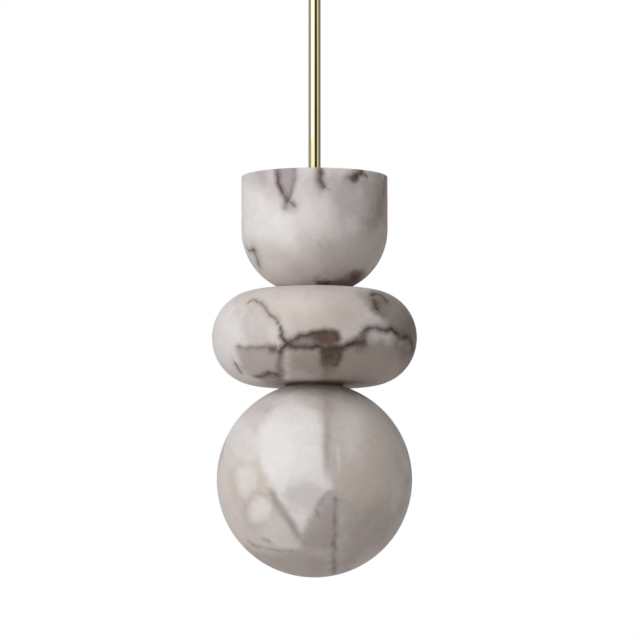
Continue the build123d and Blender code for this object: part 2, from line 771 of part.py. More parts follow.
# --- Bowl and its light engine ----------------------------------------------------------------
# Outside, the bowl's side runs straight down and then bends in along one arc to its foot.
# Inside it follows the same arc, one wall in, to a flat floor.
bend_height = bowl_bend_z - bowl_foot_z
bend_in = bowl_radius - bowl_foot_radius
bend_radius = (bend_in**2 + bend_height**2) / (2 * bend_in)
floor_depth = bowl_bend_z - bowl_floor_z
floor_radius = bowl_radius - bend_radius + sqrt((bend_radius - stone_wall) ** 2 - floor_depth**2)
with BuildPart() as alabaster_bowl:
    with BuildSketch(Plane.XZ):
        with BuildLine():
            Line((thread_radius, bowl_floor_z), (floor_radius, bowl_floor_z))
            TangentArc(
                (bowl_radius - stone_wall, bowl_bend_z), (floor_radius, bowl_floor_z), tangent=(0, -1)
            )
            Polyline(
                (bowl_radius - stone_wall, bowl_bend_z),
                (bowl_radius - stone_wall, rim_z),
                (bowl_radius, rim_z),
                (bowl_radius, bowl_bend_z),
            )
            TangentArc(
                (bowl_radius, bowl_bend_z), (bowl_foot_radius, bowl_foot_z), tangent=(0, -1)
            )
            Polyline(
                (bowl_foot_radius, bowl_foot_z),
                (stone_bore, bowl_foot_z),
                (stone_bore, bowl_foot_z + spigot_height + spigot_gap),
                (thread_radius, bowl_foot_z + spigot_height + spigot_gap),
                (thread_radius, bowl_floor_z),
            )
        make_face()
    revolve(axis=Axis.Z)
    fillet(alabaster_bowl.edges().filter_by(GeomType.CIRCLE).group_by(Axis.Z)[-1], rim_round)
    foot_edge = alabaster_bowl.edges().filter_by(GeomType.CIRCLE).group_by(Axis.Z)[0]
    fillet(foot_edge.sort_by(SortBy.RADIUS)[-1], foot_round)
save(alabaster_bowl.part, "alabaster_bowl")

save(
    ring(clamp_washer_radius, thread_radius, floor_gasket_z, clamp_washer_z),
    "clamp_washer",
)
save(
    ring(clamp_washer_radius, thread_radius, bowl_floor_z, floor_gasket_z),
    "floor_gasket",
)
save(hex_nuts([clamp_nut_z], turned=True), "clamp_nut")

# Opal sleeve between two brass end covers, each with a low step that centres the sleeve.
save(ring(sleeve_radius, sleeve_radius - sleeve_wall, sleeve_end_z, sleeve_top_z), "opal_sleeve")
with BuildPart() as sleeve_end_covers:
    for low_z, step in ((sleeve_top_z, -sleeve_groove), (clamp_nut_z, end_cover_thickness)):
        with BuildSketch(Plane.XY.offset(low_z)):
            Circle(end_cover_radius)
            Circle(thread_radius, mode=Mode.SUBTRACT)
        extrude(amount=end_cover_thickness)
        step_z = low_z + step
        with BuildSketch(Plane.XY.offset(step_z)):
            Circle(sleeve_radius - sleeve_wall - spigot_gap)
            Circle(sink_flats / 2, mode=Mode.SUBTRACT)
        extrude(amount=sleeve_groove)
    rims = sleeve_end_covers.edges().filter_by(GeomType.CIRCLE)
    outer_rims = rims.filter_by(lambda edge: abs(edge.radius - end_cover_radius) < same_size)
    chamfer(outer_rims, end_cover_chamfer)
save(sleeve_end_covers.part, "sleeve_end_covers")

# --- The three light engines: one heat sink, six boards and two nuts each ---------------------
engines = [
    ("bowl", bowl_sink_z, bowl_sink),
    ("disc", disc_sink_z, disc_sink),
    ("ball", ball_sink_z, ball_sink),
]
for name, top_z, length in engines:
    save(heat_sink(top_z, length), f"{name}_heat_sink")
    save(led_boards(top_z, length), f"{name}_led_boards")
    save(hex_nuts([top_z + nut_thickness, top_z - length]), f"{name}_engine_nuts")

# Round board on the lower end of the ball's engine, for the bottom of the ball.
with BuildPart() as ball_end_board:
    with BuildSketch(Plane.XY.offset(ball_sink_end_z)):
        Circle(end_board_radius)
        Circle(end_board_bore, mode=Mode.SUBTRACT)
    extrude(amount=-board_thickness)
    with BuildSketch(Plane.XY.offset(ball_sink_end_z - board_thickness)):
        with PolarLocations((end_board_radius + end_board_bore) / 2, engine_sides):
            Rectangle(chip_width, chip_width)
    extrude(amount=-chip_height)
save(ball_end_board.part, "ball_end_board")

# --- Joint plates between the stones ----------------------------------------------------------
save(joint_plate(disc_top_z), "upper_joint_plate")
save(joint_gaskets(disc_top_z), "upper_joint_gaskets")
save(joint_plate(ball_seat_z), "lower_joint_plate")
save(joint_gaskets(ball_seat_z), "lower_joint_gaskets")

# --- Disc: flat in the middle, with a half-oval edge, hollowed through its two bores ----------
edge_centre = disc_radius - disc_edge_reach
with BuildPart() as alabaster_disc:
    with BuildSketch(Plane.XZ):
        with BuildLine():
            Line((stone_bore, disc_top_z), (edge_centre, disc_top_z))
            EllipticalCenterArc(
                (edge_centre, disc_middle_z),
                disc_edge_reach,
                disc_height / 2,
                start_angle=-90,
                arc_size=180,
            )
            Line((edge_centre, disc_under_z), (stone_bore, disc_under_z))
            Polyline(
                (stone_bore, disc_under_z),
                (stone_bore, disc_under_z + stone_wall),
                (edge_centre, disc_under_z + stone_wall),
            )
            EllipticalCenterArc(
                (edge_centre, disc_middle_z),
                disc_edge_reach - stone_wall,
                disc_height / 2 - stone_wall,
                start_angle=-90,
                arc_size=180,
            )
            Polyline(
                (edge_centre, disc_top_z - stone_wall),
                (stone_bore, disc_top_z - stone_wall),
                (stone_bore, disc_top_z),
            )
        make_face()
    revolve(axis=Axis.Z)
save(alabaster_disc.part, "alabaster_disc")

# --- Ball: hollowed through the bore in its flat, with a ledge inside for the toggle ----------
inner_radius = ball_radius - stone_wall
ledge_height = ball_ledge_z - ball_centre_z
ledge_radius = sqrt(inner_radius**2 - ledge_height**2)
with BuildPart() as alabaster_ball:
    with BuildSketch(Plane.XZ):
        with BuildLine():
            Line((stone_bore, ball_seat_z), (ball_seat_radius, ball_seat_z))
            ThreePointArc(
                (ball_seat_radius, ball_seat_z),
                (ball_radius, ball_centre_z),
                (0, ball_centre_z - ball_radius),
            )
            Line((0, ball_centre_z - ball_radius), (0, ball_centre_z - inner_radius))
            ThreePointArc(
                (0, ball_centre_z - inner_radius),
                (inner_radius, ball_centre_z),
                (ledge_radius, ball_ledge_z),
            )
            Polyline(
                (ledge_radius, ball_ledge_z), (stone_bore, ball_ledge_z), (stone_bore, ball_seat_z)
            )
        make_face()
    revolve(axis=Axis.Z)
save(alabaster_ball.part, "alabaster_ball")

# Toggle: narrow enough to go through the bore on edge, long enough to bear on the ledge.
with BuildSketch() as toggle_outline:
    Circle(ledge_radius - toggle_end_gap)
    Rectangle(2 * ledge_radius, 2 * (stone_bore - toggle_side_gap), mode=Mode.INTERSECT)

with BuildPart() as toggle_plate:
    with BuildSketch(Plane.XY.offset(toggle_top_z)):
        add(toggle_outline.sketch)
        Circle(thread_radius, mode=Mode.SUBTRACT)
    extrude(amount=-toggle_thickness)
save(toggle_plate.part, "toggle_plate")

with BuildPart() as toggle_pads:
    with BuildSketch(Plane.XY.offset(toggle_top_z)):
        add(toggle_outline.sketch)
        Circle(stone_bore, mode=Mode.SUBTRACT)
    extrude(amount=toggle_pad_thickness)
save(toggle_pads.part, "toggle_pads")

save(hex_nuts([toggle_nut_z, toggle_nut_z - nut_thickness]), "toggle_nuts")
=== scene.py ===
"""Pendant light of three alabaster stones on a brass stem, dressed for the camera.

Run as a script inside Blender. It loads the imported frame, turns the stones, the stem and the
canopy at full smoothness, gives every piece its finish, and lights the stage.
Sizes in the sections and tables are millimetres. MM turns them into Blender's metres.
"""

import math
import random

import bmesh
import bpy
import numpy as np
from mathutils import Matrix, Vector, kdtree


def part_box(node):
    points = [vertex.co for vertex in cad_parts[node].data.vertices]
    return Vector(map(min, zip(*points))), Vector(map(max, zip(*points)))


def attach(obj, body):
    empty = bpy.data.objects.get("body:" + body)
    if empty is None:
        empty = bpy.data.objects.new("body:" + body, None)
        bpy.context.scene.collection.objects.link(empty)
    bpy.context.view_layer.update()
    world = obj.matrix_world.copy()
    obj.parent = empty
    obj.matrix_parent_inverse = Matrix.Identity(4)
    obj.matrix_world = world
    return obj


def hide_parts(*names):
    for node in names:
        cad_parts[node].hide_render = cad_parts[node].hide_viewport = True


bl_info = {
    "name": "Alabaster Pendant",
    "version": (1, 0, 0),
    "blender": (4, 5, 0),
    "location": "View3D > Sidebar > Pendant",
    "description": "Dresses the packed pendant: stones, brass, ceiling mount and stage",
    "category": "Object",
}

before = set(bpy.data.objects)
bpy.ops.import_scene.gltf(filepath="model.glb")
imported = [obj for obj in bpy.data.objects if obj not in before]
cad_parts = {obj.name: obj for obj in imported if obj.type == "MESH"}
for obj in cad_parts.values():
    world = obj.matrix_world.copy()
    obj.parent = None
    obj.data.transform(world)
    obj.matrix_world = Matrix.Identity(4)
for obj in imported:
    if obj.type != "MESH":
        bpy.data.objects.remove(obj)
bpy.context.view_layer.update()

MM = 0.001


def linear(hex_colour):
    """Linear RGBA from an sRGB hex colour."""
    parts = [int(hex_colour[i : i + 2], 16) / 255 for i in (1, 3, 5)]
    return (*[c / 12.92 if c <= 0.04045 else ((c + 0.055) / 1.055) ** 2.4 for c in parts], 1.0)


def add_node(tree, kind, settings=None, inputs=None):
    """A node with its settings, values and links; a node given as a value links its first output."""
    node = tree.nodes.new(kind)
    for key, value in (settings or {}).items():
        setattr(node, key, value)
    for key, value in (inputs or {}).items():
        if isinstance(value, bpy.types.Node):
            value = value.outputs[0]
        if isinstance(value, bpy.types.NodeSocket):
            tree.links.new(value, node.inputs[key])
        else:
            node.inputs[key].default_value = value
    return node


# --- Settings a user would change --------------------------------------------------------------
def colour_setting(name, text, hex_colour):
    return bpy.props.FloatVectorProperty(
        name=name, description=text, default=linear(hex_colour), subtype="COLOR", size=4, min=0, max=1
    )


class PendantStoneSettings(bpy.types.PropertyGroup):
    milk: colour_setting("Milk", "The palest cloud of the stone", "#efebe9")
    pearl: colour_setting("Pearl", "The usual ground of the stone", "#dcd4d1")
    lavender: colour_setting("Lavender", "Cool grey clouds", "#b9abb0")
    beige: colour_setting("Beige", "Warm clouds", "#d0bfb0")
    taupe: colour_setting("Taupe", "Grey brown clouds", "#a3948b")
    # umber also paints the shade across the ball's top under the disc
    umber: colour_setting("Umber", "Brown stains beside the veins", "#5c473c")
    rust: colour_setting("Rust", "Red brown stains", "#6e443a")
    vein: colour_setting("Vein", "The core of a vein", "#38271f")
    vein_width: bpy.props.FloatProperty(
        name="Vein width", description="Widens or narrows every vein", default=1.0, min=0.2, max=3.0
    )
    segments: bpy.props.IntProperty(
        name="Segments", description="Facets round each stone", default=384, min=48, max=512
    )


class PendantMetalSettings(bpy.types.PropertyGroup):
    brass: colour_setting("Brass", "Polished brass of the stem and canopy", "#f1e5b4")
    segments: bpy.props.IntProperty(
        name="Segments", description="Facets round each turned brass piece", default=128, min=24, max=256
    )
    knurl_ribs: bpy.props.IntProperty(
        name="Knurl ribs", description="Ribs round each canopy screw", default=28, min=8, max=60
    )


class PendantStageSettings(bpy.types.PropertyGroup):
    ambient: bpy.props.FloatProperty(
        name="Ambient", description="Strength of the light that comes from all round", default=0.8, min=0
    )
    key_power: bpy.props.FloatProperty(
        name="Key power",
        description="Power of the soft light at the left",
        default=22.0,
        min=0,
        unit="POWER",
    )
    floor_depth: bpy.props.FloatProperty(
        name="Floor depth", description="From the ceiling to the floor", default=2.5, min=1, unit="LENGTH"
    )


# --- Camera and light ---------------------------------------------------------------------------
CAMERA_PLACE = (0.0054, -5.348, -0.981)
CAMERA_AIM = (0.0054, 0.0, -0.4379)
CAMERA_LENS = 309.0
CAMERA_TILT = math.radians(5.8)  # the camera looks up by this much

# Light that reaches the object by compass direction, in degrees from the camera's side, positive
# to the right: (direction, brightness). A wide soft window at the left, a dark gap, a slim one.
SURROUND = [
    (-180, 0.50), (-125, 0.46), (-72, 0.50), (-60, 1.55), (-3, 1.55), (7, 0.03),
    (45, 0.03), (53, 0.95), (74, 0.95), (84, 0.22), (145, 0.28), (180, 0.50),
]


def build_world(settings):
    """White behind the object, and soft light from all round that only the object sees."""
    world = bpy.data.worlds.new("soft_studio")
    world.use_nodes = True
    tree = world.node_tree
    tree.nodes.clear()
    way = add_node(tree, "ShaderNodeTexCoord").outputs["Generated"]
    parts = add_node(tree, "ShaderNodeSeparateXYZ", inputs={0: way})
    toward_camera = add_node(
        tree, "ShaderNodeMath", {"operation": "MULTIPLY"}, {0: parts.outputs[1], 1: -1.0}
    )
    compass = add_node(
        tree, "ShaderNodeMath", {"operation": "ARCTAN2"}, {0: parts.outputs[0], 1: toward_camera}
    )
    share = add_node(
        tree, "ShaderNodeMapRange", inputs={"Value": compass, "From Min": -math.pi, "From Max": math.pi}
    )
    ramp = add_node(tree, "ShaderNodeValToRGB", inputs={0: share})
    brightest = max(value for _, value in SURROUND)
    points = ramp.color_ramp.elements
    while len(points) < len(SURROUND):
        points.new(0.5)
    for point, (direction, value) in zip(points, SURROUND):
        point.position = (direction + 180) / 360
        grey = value / brightest
        point.color = (grey, grey, grey, 1)
    height = add_node(
        tree,
        "ShaderNodeMapRange",
        inputs={
            "Value": parts.outputs[2],
            "From Min": -1.0,
            "From Max": 1.0,
            "To Min": 0.72,
            "To Max": 1.25,
        },
    )
    strength = add_node(
        tree, "ShaderNodeMath", {"operation": "MULTIPLY"}, {0: height, 1: brightest * settings.ambient}
    )
    around = add_node(tree, "ShaderNodeBackground", inputs={"Color": ramp, "Strength": strength})
    behind = add_node(tree, "ShaderNodeBackground", inputs={"Color": linear("#ffffff"), "Strength": 1.0})
    seen = add_node(tree, "ShaderNodeLightPath")
    choose = add_node(
        tree, "ShaderNodeMixShader", inputs={0: seen.outputs["Is Camera Ray"], 1: around, 2: behind}
    )
    add_node(tree, "ShaderNodeOutputWorld", inputs={"Surface": choose})
    bpy.context.scene.world = world


class PENDANT_OT_stage(bpy.types.Operator):
    """Make the camera, the soft studio light and the plain pale floor"""

    bl_idname = "pendant.stage"
    bl_label = "Stage"

    def execute(self, context):
        settings = context.scene.pendant_stage
        scene = context.scene
        camera = bpy.data.objects.new("camera", bpy.data.cameras.new("camera"))
        scene.collection.objects.link(camera)
        camera.data.lens = CAMERA_LENS
        camera.data.sensor_width = 36.0
        camera.data.clip_end = 50.0
        camera.data.dof.use_dof = False
        camera.location = CAMERA_PLACE
        looks = Vector(CAMERA_AIM) - Vector(CAMERA_PLACE)
        camera.rotation_euler = looks.to_track_quat("-Z", "Y").to_euler()
        scene.camera = camera
        scene.view_settings.view_transform = "Standard"
        build_world(settings)
        key = bpy.data.lights.new("key_softbox", "AREA")
        key.shape = "RECTANGLE"
        key.size = 1.6
        key.size_y = 2.2
        key.energy = settings.key_power
        softbox = bpy.data.objects.new("key_softbox", key)
        scene.collection.objects.link(softbox)
        softbox.location = (-2.1, -2.4, 0.7)
        aim = Vector((0, 0, -0.45)) - softbox.location
        softbox.rotation_euler = aim.to_track_quat("-Z", "Y").to_euler()
        # the floor: a wide round sheet of pale studio paper
        form = bmesh.new()
        bmesh.ops.create_circle(form, cap_ends=True, segments=96, radius=9.0)
        bmesh.ops.translate(form, verts=form.verts, vec=(0, 0, -settings.floor_depth))
        sheet = bpy.data.meshes.new("studio_floor")
        form.to_mesh(sheet)
        form.free()
        floor = bpy.data.objects.new("studio_floor", sheet)
        scene.collection.objects.link(floor)
        sheet.materials.append(finish("studio_paper", PAPER))
        return {"FINISHED"}


# --- Finishes -----------------------------------------------------------------------------------
# Every plain finish is two close colours of one pattern. grain is the pattern's size in
# millimetres along X, Y and Z, rough its two roughness values, and bump how deep it is.

# Seamless paper: flat and matt.
PAPER = {"low": "#f3f2f0", "high": "#f8f7f6", "grain": (90, 90, 90), "rough": (0.85, 0.95)}
# Cold-rolled steel strip with bright zinc plate: a cool satin with faint crystal clouds.
ZINC_STEEL = {
    "low": "#a9acb1",
    "high": "#c3c5c9",
    "grain": (6, 6, 6),
    "rough": (0.28, 0.46),
    "metal": 1.0,
    "bump": 0.02,
}
# Brass turned and left bare: warm, with fine rings from the tool and soft handling marks.
BRASS_TURNED = {
    "low": "#dccb95",
    "high": "#ecdcb2",
    "grain": (9, 9, 0.5),
    "rough": (0.14, 0.24),
    "metal": 1.0,
    "bump": 0.008,
}
# Brass plate hidden between the stones, coloured dull brown as painted shade for the soft brown shadow
# where the stones meet, so it doesn't glint: dull and soft.
PLATE_PAINTED_SHADE = {
    "low": "#6f5a49",
    "high": "#7e6756",
    "grain": (5, 5, 1.2),
    "rough": (0.5, 0.65),
    "metal": 1.0,
    "bump": 0.01,
}
# ABS moulded in a spark-eroded tool: warm white with an even fine leather of pits.
ABS_WHITE = {
    "low": "#e3e2de",
    "high": "#ebeae7",
    "grain": (0.9, 0.9, 0.9),
    "rough": (0.42, 0.55),
    "ior": 1.54,
    "bump": 0.03,
}
# Closed-cell polyethylene foam tape: black, matt, full of small cells.
FOAM_TAPE = {
    "low": "#1d1d1e",
    "high": "#37373a",
    "grain": (0.8, 0.8, 0.8),
    "rough": (0.85, 0.98),
    "ior": 1.5,
    "bump": 0.12,
}
# Natural polyamide, moulded: milky, slightly waxy.
POLYAMIDE = {
    "low": "#ddd9cf",
    "high": "#e8e5dd",
    "grain": (3, 3, 3),
    "rough": (0.36, 0.46),
    "ior": 1.53,
    "bump": 0.01,
}
# Copper with hot tin plate: bright grey, softly rippled.
TINNED_COPPER = {
    "low": "#b3b3b2",
    "high": "#cfcfcd",
    "grain": (1.6, 1.6, 1.6),
    "rough": (0.2, 0.34),
    "metal": 1.0,
    "bump": 0.03,
}
# PVC extruded over a wire: smooth, slightly glossy, with long faint draw marks.
PVC_BROWN = {
    "low": "#5a3825",
    "high": "#66412c",
    "grain": (1.2, 7, 1.2),
    "rough": (0.34, 0.42),
    "ior": 1.53,
    "bump": 0.01,
}
PVC_GREEN = {**PVC_BROWN, "low": "#5d9431", "high": "#c8c23a", "grain": (3.2, 9, 3.2)}
PVC_WHITE = {**PVC_BROWN, "low": "#dcdbd8", "high": "#e8e7e5"}
# Silicone sheet, calendered: a warm stone grey, with a dusty bloom.
SILICONE = {
    "low": "#6a5f56",
    "high": "#786c62",
    "grain": (2.5, 2.5, 2.5),
    "rough": (0.55, 0.75),
    "ior": 1.43,
    "bump": 0.02,
}
# Aluminium pushed through a die: pale grey with fine lines along its length.
ALUMINIUM_EXTRUDED = {
    "low": "#b9bbbe",
    "high": "#d0d2d4",
    "grain": (0.5, 0.5, 30),
    "rough": (0.3, 0.42),
    "metal": 1.0,
    "bump": 0.015,
}
# White solder mask over an aluminium board: glossy, with the copper showing as a faint tint.
SOLDER_MASK = {
    "low": "#e5e2d2",
    "high": "#f1f0e9",
    "grain": (2.8, 2.8, 2.8),
    "rough": (0.18, 0.3),
    "ior": 1.55,
    "bump": 0.01,
}
# Opal acrylic tube, extruded: even milk white that light soaks into.
OPAL_ACRYLIC = {
    "low": "#eeeeeb",
    "high": "#f5f5f3",
    "grain": (14, 14, 40),
    "rough": (0.16, 0.22),
    "ior": 1.49,
    "bump": 0.004,
    "soak": 0.6,
}


def bare_material(name):
    """A material without nodes, its tree, and the place on the object for its patterns."""
    material = bpy.data.materials.new(name)
    material.use_nodes = True
    tree = material.node_tree
    tree.nodes.clear()
    return material, tree, add_node(tree, "ShaderNodeTexCoord").outputs["Object"]


def finish(name, facts):
    """A material from one of the finishes above."""
    material, tree, place = bare_material(name)
    stretch = [1 / (MM * size) for size in facts["grain"]]
    placed = add_node(tree, "ShaderNodeMapping", inputs={"Vector": place, "Scale": stretch})
    grain = add_node(
        tree,
        "ShaderNodeTexNoise",
        inputs={"Vector": placed, "Scale": 1.0, "Detail": 4.0, "Roughness": 0.6},
    )
    spread = add_node(
        tree,
        "ShaderNodeMapRange",
        {"interpolation_type": "SMOOTHSTEP"},
        {"Value": grain, "From Min": 0.3, "From Max": 0.7},
    )
    colour = add_node(
        tree,
        "ShaderNodeMix",
        {"data_type": "RGBA"},
        {0: spread, 6: linear(facts["low"]), 7: linear(facts["high"])},
    )
    low_rough, high_rough = facts["rough"]
    rough = add_node(
        tree, "ShaderNodeMapRange", inputs={"Value": spread, "To Min": low_rough, "To Max": high_rough}
    )
    bump = add_node(
        tree,
        "ShaderNodeBump",
        inputs={"Height": grain, "Strength": 1.0, "Distance": facts.get("bump", 0.0) * MM},
    )
    shader = add_node(
        tree,
        "ShaderNodeBsdfPrincipled",
        inputs={
            "Base Color": colour.outputs[2],
            "Roughness": rough,
            "Metallic": facts.get("metal", 0.0),
            "Normal": bump,
        },
    )
    if "ior" in facts:
        shader.inputs["IOR"].default_value = facts["ior"]
    if "soak" in facts:
        shader.inputs["Subsurface Weight"].default_value = facts["soak"]
        shader.inputs["Subsurface Radius"].default_value = (1.0, 0.95, 0.9)
        shader.inputs["Subsurface Scale"].default_value = 3 * MM
    add_node(tree, "ShaderNodeOutputMaterial", inputs={"Surface": shader})
    return material


def polished_brass(name, colour):
    """Drawn brass, buffed along its length and lacquered: a mirror with long soft streaks."""
    material, tree, place = bare_material(name)
    # buffing streaks about 0.4 mm wide and 60 mm long
    long_way = add_node(
        tree,
        "ShaderNodeMapping",
        inputs={"Vector": place, "Scale": (1 / (0.4 * MM), 1 / (0.4 * MM), 1 / (60 * MM))},
    )
    streaks = add_node(
        tree, "ShaderNodeTexNoise", inputs={"Vector": long_way, "Scale": 1.0, "Detail": 3.0}
    )
    # patches of handling, about 25 mm across
    touch = add_node(
        tree, "ShaderNodeTexNoise", inputs={"Vector": place, "Scale": 1 / (25 * MM), "Detail": 3.0}
    )
    both = add_node(tree, "ShaderNodeMath", {"operation": "MULTIPLY"}, {0: streaks, 1: touch})
    rough = add_node(
        tree,
        "ShaderNodeMapRange",
        inputs={"Value": both, "From Min": 0.1, "From Max": 0.45, "To Min": 0.05, "To Max": 0.13},
    )
    darker = tuple(0.9 * value for value in colour[:3]) + (1.0,)
    tint = add_node(
        tree, "ShaderNodeMix", {"data_type": "RGBA"}, {0: touch, 6: darker, 7: tuple(colour)}
    )
    shader = add_node(
        tree,
        "ShaderNodeBsdfPrincipled",
        inputs={"Base Color": tint.outputs[2], "Roughness": rough, "Metallic": 1.0},
    )
    add_node(tree, "ShaderNodeOutputMaterial", inputs={"Surface": shader})
    return material


VEIN_LAYERS = 3  # veins that cross lie in different layers, one for each axis of a vector


def honed_alabaster(name, settings):
    """Alabaster turned and honed: milky, waxy stone with clouds inside it and thin dark veins.

    The clouds and the veins' places are attributes of the mesh. Light soaks a few millimetres
    into the stone, so edges of clouds look soft and the surface has only a dull sheen.
    """
    material, tree, place = bare_material(name)
    cloud = add_node(tree, "ShaderNodeAttribute", {"attribute_name": "cloud"})
    # mottling about 14 mm across, down to fine specks
    mottle = add_node(
        tree,
        "ShaderNodeTexNoise",
        inputs={
            "Vector": place,
            "Scale": 1 / (14 * MM),
            "Detail": 6.0,
            "Roughness": 0.6,
            "Distortion": 0.8,
        },
    )
    shade = add_node(
        tree,
        "ShaderNodeMapRange",
        inputs={"Value": mottle, "From Min": 0.3, "From Max": 0.7, "To Min": 0.94, "To Max": 1.04},
    )
    ground = add_node(
        tree,
        "ShaderNodeVectorMath",
        {"operation": "SCALE"},
        {0: cloud.outputs["Color"], "Scale": shade},
    )
    # the main veins, ragged at the size of the stone's grains, about 2 mm
    ragged = add_node(
        tree, "ShaderNodeTexNoise", inputs={"Vector": place, "Scale": 1 / (2.2 * MM), "Detail": 3.0}
    )
    ragged = add_node(
        tree,
        "ShaderNodeMapRange",
        inputs={"Value": ragged, "From Min": 0.25, "From Max": 0.75, "To Min": -0.5, "To Max": 0.5},
    )
    gaps = add_node(
        tree, "ShaderNodeTexNoise", inputs={"Vector": place, "Scale": 1 / (13 * MM), "Detail": 2.0}
    )
    gaps = add_node(
        tree,
        "ShaderNodeMapRange",
        inputs={"Value": gaps, "From Min": 0.36, "From Max": 0.56, "To Min": 0.45, "To Max": 0.95},
    )
    distance = add_node(tree, "ShaderNodeAttribute", {"attribute_name": "vein_distance"})
    strength = add_node(tree, "ShaderNodeAttribute", {"attribute_name": "vein_strength"})
    distance = add_node(tree, "ShaderNodeSeparateXYZ", inputs={0: distance.outputs["Vector"]})
    strength = add_node(tree, "ShaderNodeSeparateXYZ", inputs={0: strength.outputs["Vector"]})
    veined = stain = None
    for layer in range(VEIN_LAYERS):
        off = add_node(
            tree, "ShaderNodeMath", {"operation": "ADD"}, {0: distance.outputs[layer], 1: ragged}
        )
        off = add_node(tree, "ShaderNodeMath", {"operation": "ABSOLUTE"}, {0: off})
        core = add_node(
            tree,
            "ShaderNodeMapRange",
            {"interpolation_type": "SMOOTHSTEP"},
            {"Value": off, "From Min": 0.0, "From Max": 1.6, "To Min": 1.0, "To Max": 0.0},
        )
        edge = add_node(
            tree,
            "ShaderNodeMapRange",
            {"interpolation_type": "SMOOTHSTEP"},
            {"Value": off, "From Min": 0.0, "From Max": 4.6, "To Min": 0.8, "To Max": 0.0},
        )
        edge = add_node(
            tree, "ShaderNodeMath", {"operation": "MULTIPLY"}, {0: edge, 1: strength.outputs[layer]}
        )
        core = add_node(
            tree, "ShaderNodeMath", {"operation": "MULTIPLY"}, {0: core, 1: strength.outputs[layer]}
        )
        if veined is None:
            veined, stain = core, edge
            continue
        veined = add_node(tree, "ShaderNodeMath", {"operation": "MAXIMUM"}, {0: veined, 1: core})
        stain = add_node(tree, "ShaderNodeMath", {"operation": "MAXIMUM"}, {0: stain, 1: edge})
    veined = add_node(
        tree, "ShaderNodeMath", {"operation": "MULTIPLY", "use_clamp": True}, {0: veined, 1: gaps}
    )
    stain = add_node(tree, "ShaderNodeMath", {"operation": "MULTIPLY"}, {0: stain, 1: gaps})
    stained = add_node(
        tree, "ShaderNodeMix", {"data_type": "RGBA"}, {0: stain, 6: ground, 7: tuple(settings.umber)}
    )
    colour = add_node(
        tree,
        "ShaderNodeMix",
        {"data_type": "RGBA"},
        {0: veined, 6: stained.outputs[2], 7: tuple(settings.vein)},
    )
    rough = add_node(
        tree,
        "ShaderNodeMapRange",
        inputs={"Value": mottle, "From Min": 0.3, "From Max": 0.7, "To Min": 0.4, "To Max": 0.52},
    )
    # honing marks and crystals, 0.7 mm
    crystals = add_node(tree, "ShaderNodeTexNoise", inputs={"Vector": place, "Scale": 1 / (0.7 * MM)})
    bump = add_node(
        tree, "ShaderNodeBump", inputs={"Height": crystals, "Strength": 1.0, "Distance": 0.006 * MM}
    )
    shader = add_node(
        tree,
        "ShaderNodeBsdfPrincipled",
        inputs={
            "Base Color": colour.outputs[2],
            "Roughness": rough,
            "IOR": 1.52,
            "Subsurface Weight": 0.3,
            "Subsurface Radius": (1.0, 0.8, 0.65),
            "Subsurface Scale": 3.5 * MM,
            "Normal": bump,
        },
    )
    add_node(tree, "ShaderNodeOutputMaterial", inputs={"Surface": shader})
    return material


# --- Turned pieces ------------------------------------------------------------------------------
def begin_tree(name, sockets, result):
    """A Geometry Nodes tree with named inputs, and the outputs that hand them on."""
    tree = bpy.data.node_groups.new(name, "GeometryNodeTree")
    for title, kind in sockets.items():
        tree.interface.new_socket(title, in_out="INPUT", socket_type="NodeSocket" + kind)
    tree.interface.new_socket(result, in_out="OUTPUT", socket_type="NodeSocketGeometry")
    return tree, add_node(tree, "NodeGroupInput").outputs


def end_tree(tree, shape, material):
    """Ends a tree with plain geometry that wears its material."""
    plain = add_node(tree, "GeometryNodeRealizeInstances", inputs={"Geometry": shape})
    dressed = add_node(tree, "GeometryNodeSetMaterial", inputs={"Geometry": plain, "Material": material})
    add_node(tree, "NodeGroupOutput", inputs={0: dressed})
    return tree


def lathe_tree():
    """Geometry Nodes that turn a profile about Z, as a lathe does."""
    sockets = {"Profile": "Geometry", "Segments": "Int", "Finish": "Material"}
    tree, given = begin_tree("lathe", sockets, "Turned")
    count = add_node(
        tree, "GeometryNodeAttributeDomainSize", {"component": "MESH"}, {0: given["Profile"]}
    )
    round_count = add_node(tree, "ShaderNodeMath", {"operation": "ADD"}, {0: given["Segments"], 1: 1.0})
    grid = add_node(
        tree,
        "GeometryNodeMeshGrid",
        inputs={
            "Size X": 1.0,
            "Size Y": 1.0,
            "Vertices X": count.outputs["Point Count"],
            "Vertices Y": round_count,
        },
    )
    place = add_node(tree, "GeometryNodeInputPosition")
    parts = add_node(tree, "ShaderNodeSeparateXYZ", inputs={0: place})
    last = add_node(
        tree, "ShaderNodeMath", {"operation": "SUBTRACT"}, {0: count.outputs["Point Count"], 1: 1.0}
    )
    along = add_node(tree, "ShaderNodeMath", {"operation": "ADD"}, {0: parts.outputs[0], 1: 0.5})
    row = add_node(tree, "ShaderNodeMath", {"operation": "MULTIPLY"}, {0: along, 1: last})
    row = add_node(tree, "ShaderNodeMath", {"operation": "ROUND"}, {0: row})
    angle = add_node(tree, "ShaderNodeMath", {"operation": "ADD"}, {0: parts.outputs[1], 1: 0.5})
    angle = add_node(tree, "ShaderNodeMath", {"operation": "MULTIPLY"}, {0: angle, 1: math.tau})
    point = add_node(
        tree,
        "GeometryNodeSampleIndex",
        {"data_type": "FLOAT_VECTOR", "domain": "POINT"},
        {
            "Geometry": given["Profile"],
            "Value": add_node(tree, "GeometryNodeInputPosition"),
            "Index": row,
        },
    )
    turned = add_node(
        tree, "ShaderNodeVectorRotate", {"rotation_type": "Z_AXIS"}, {"Vector": point, "Angle": angle}
    )
    skin = add_node(
        tree, "GeometryNodeSetPosition", inputs={"Geometry": grid.outputs["Mesh"], "Position": turned}
    )
    closed = add_node(
        tree, "GeometryNodeMergeByDistance", inputs={"Geometry": skin, "Distance": 0.002 * MM}
    )
    return end_tree(tree, closed, given["Finish"])


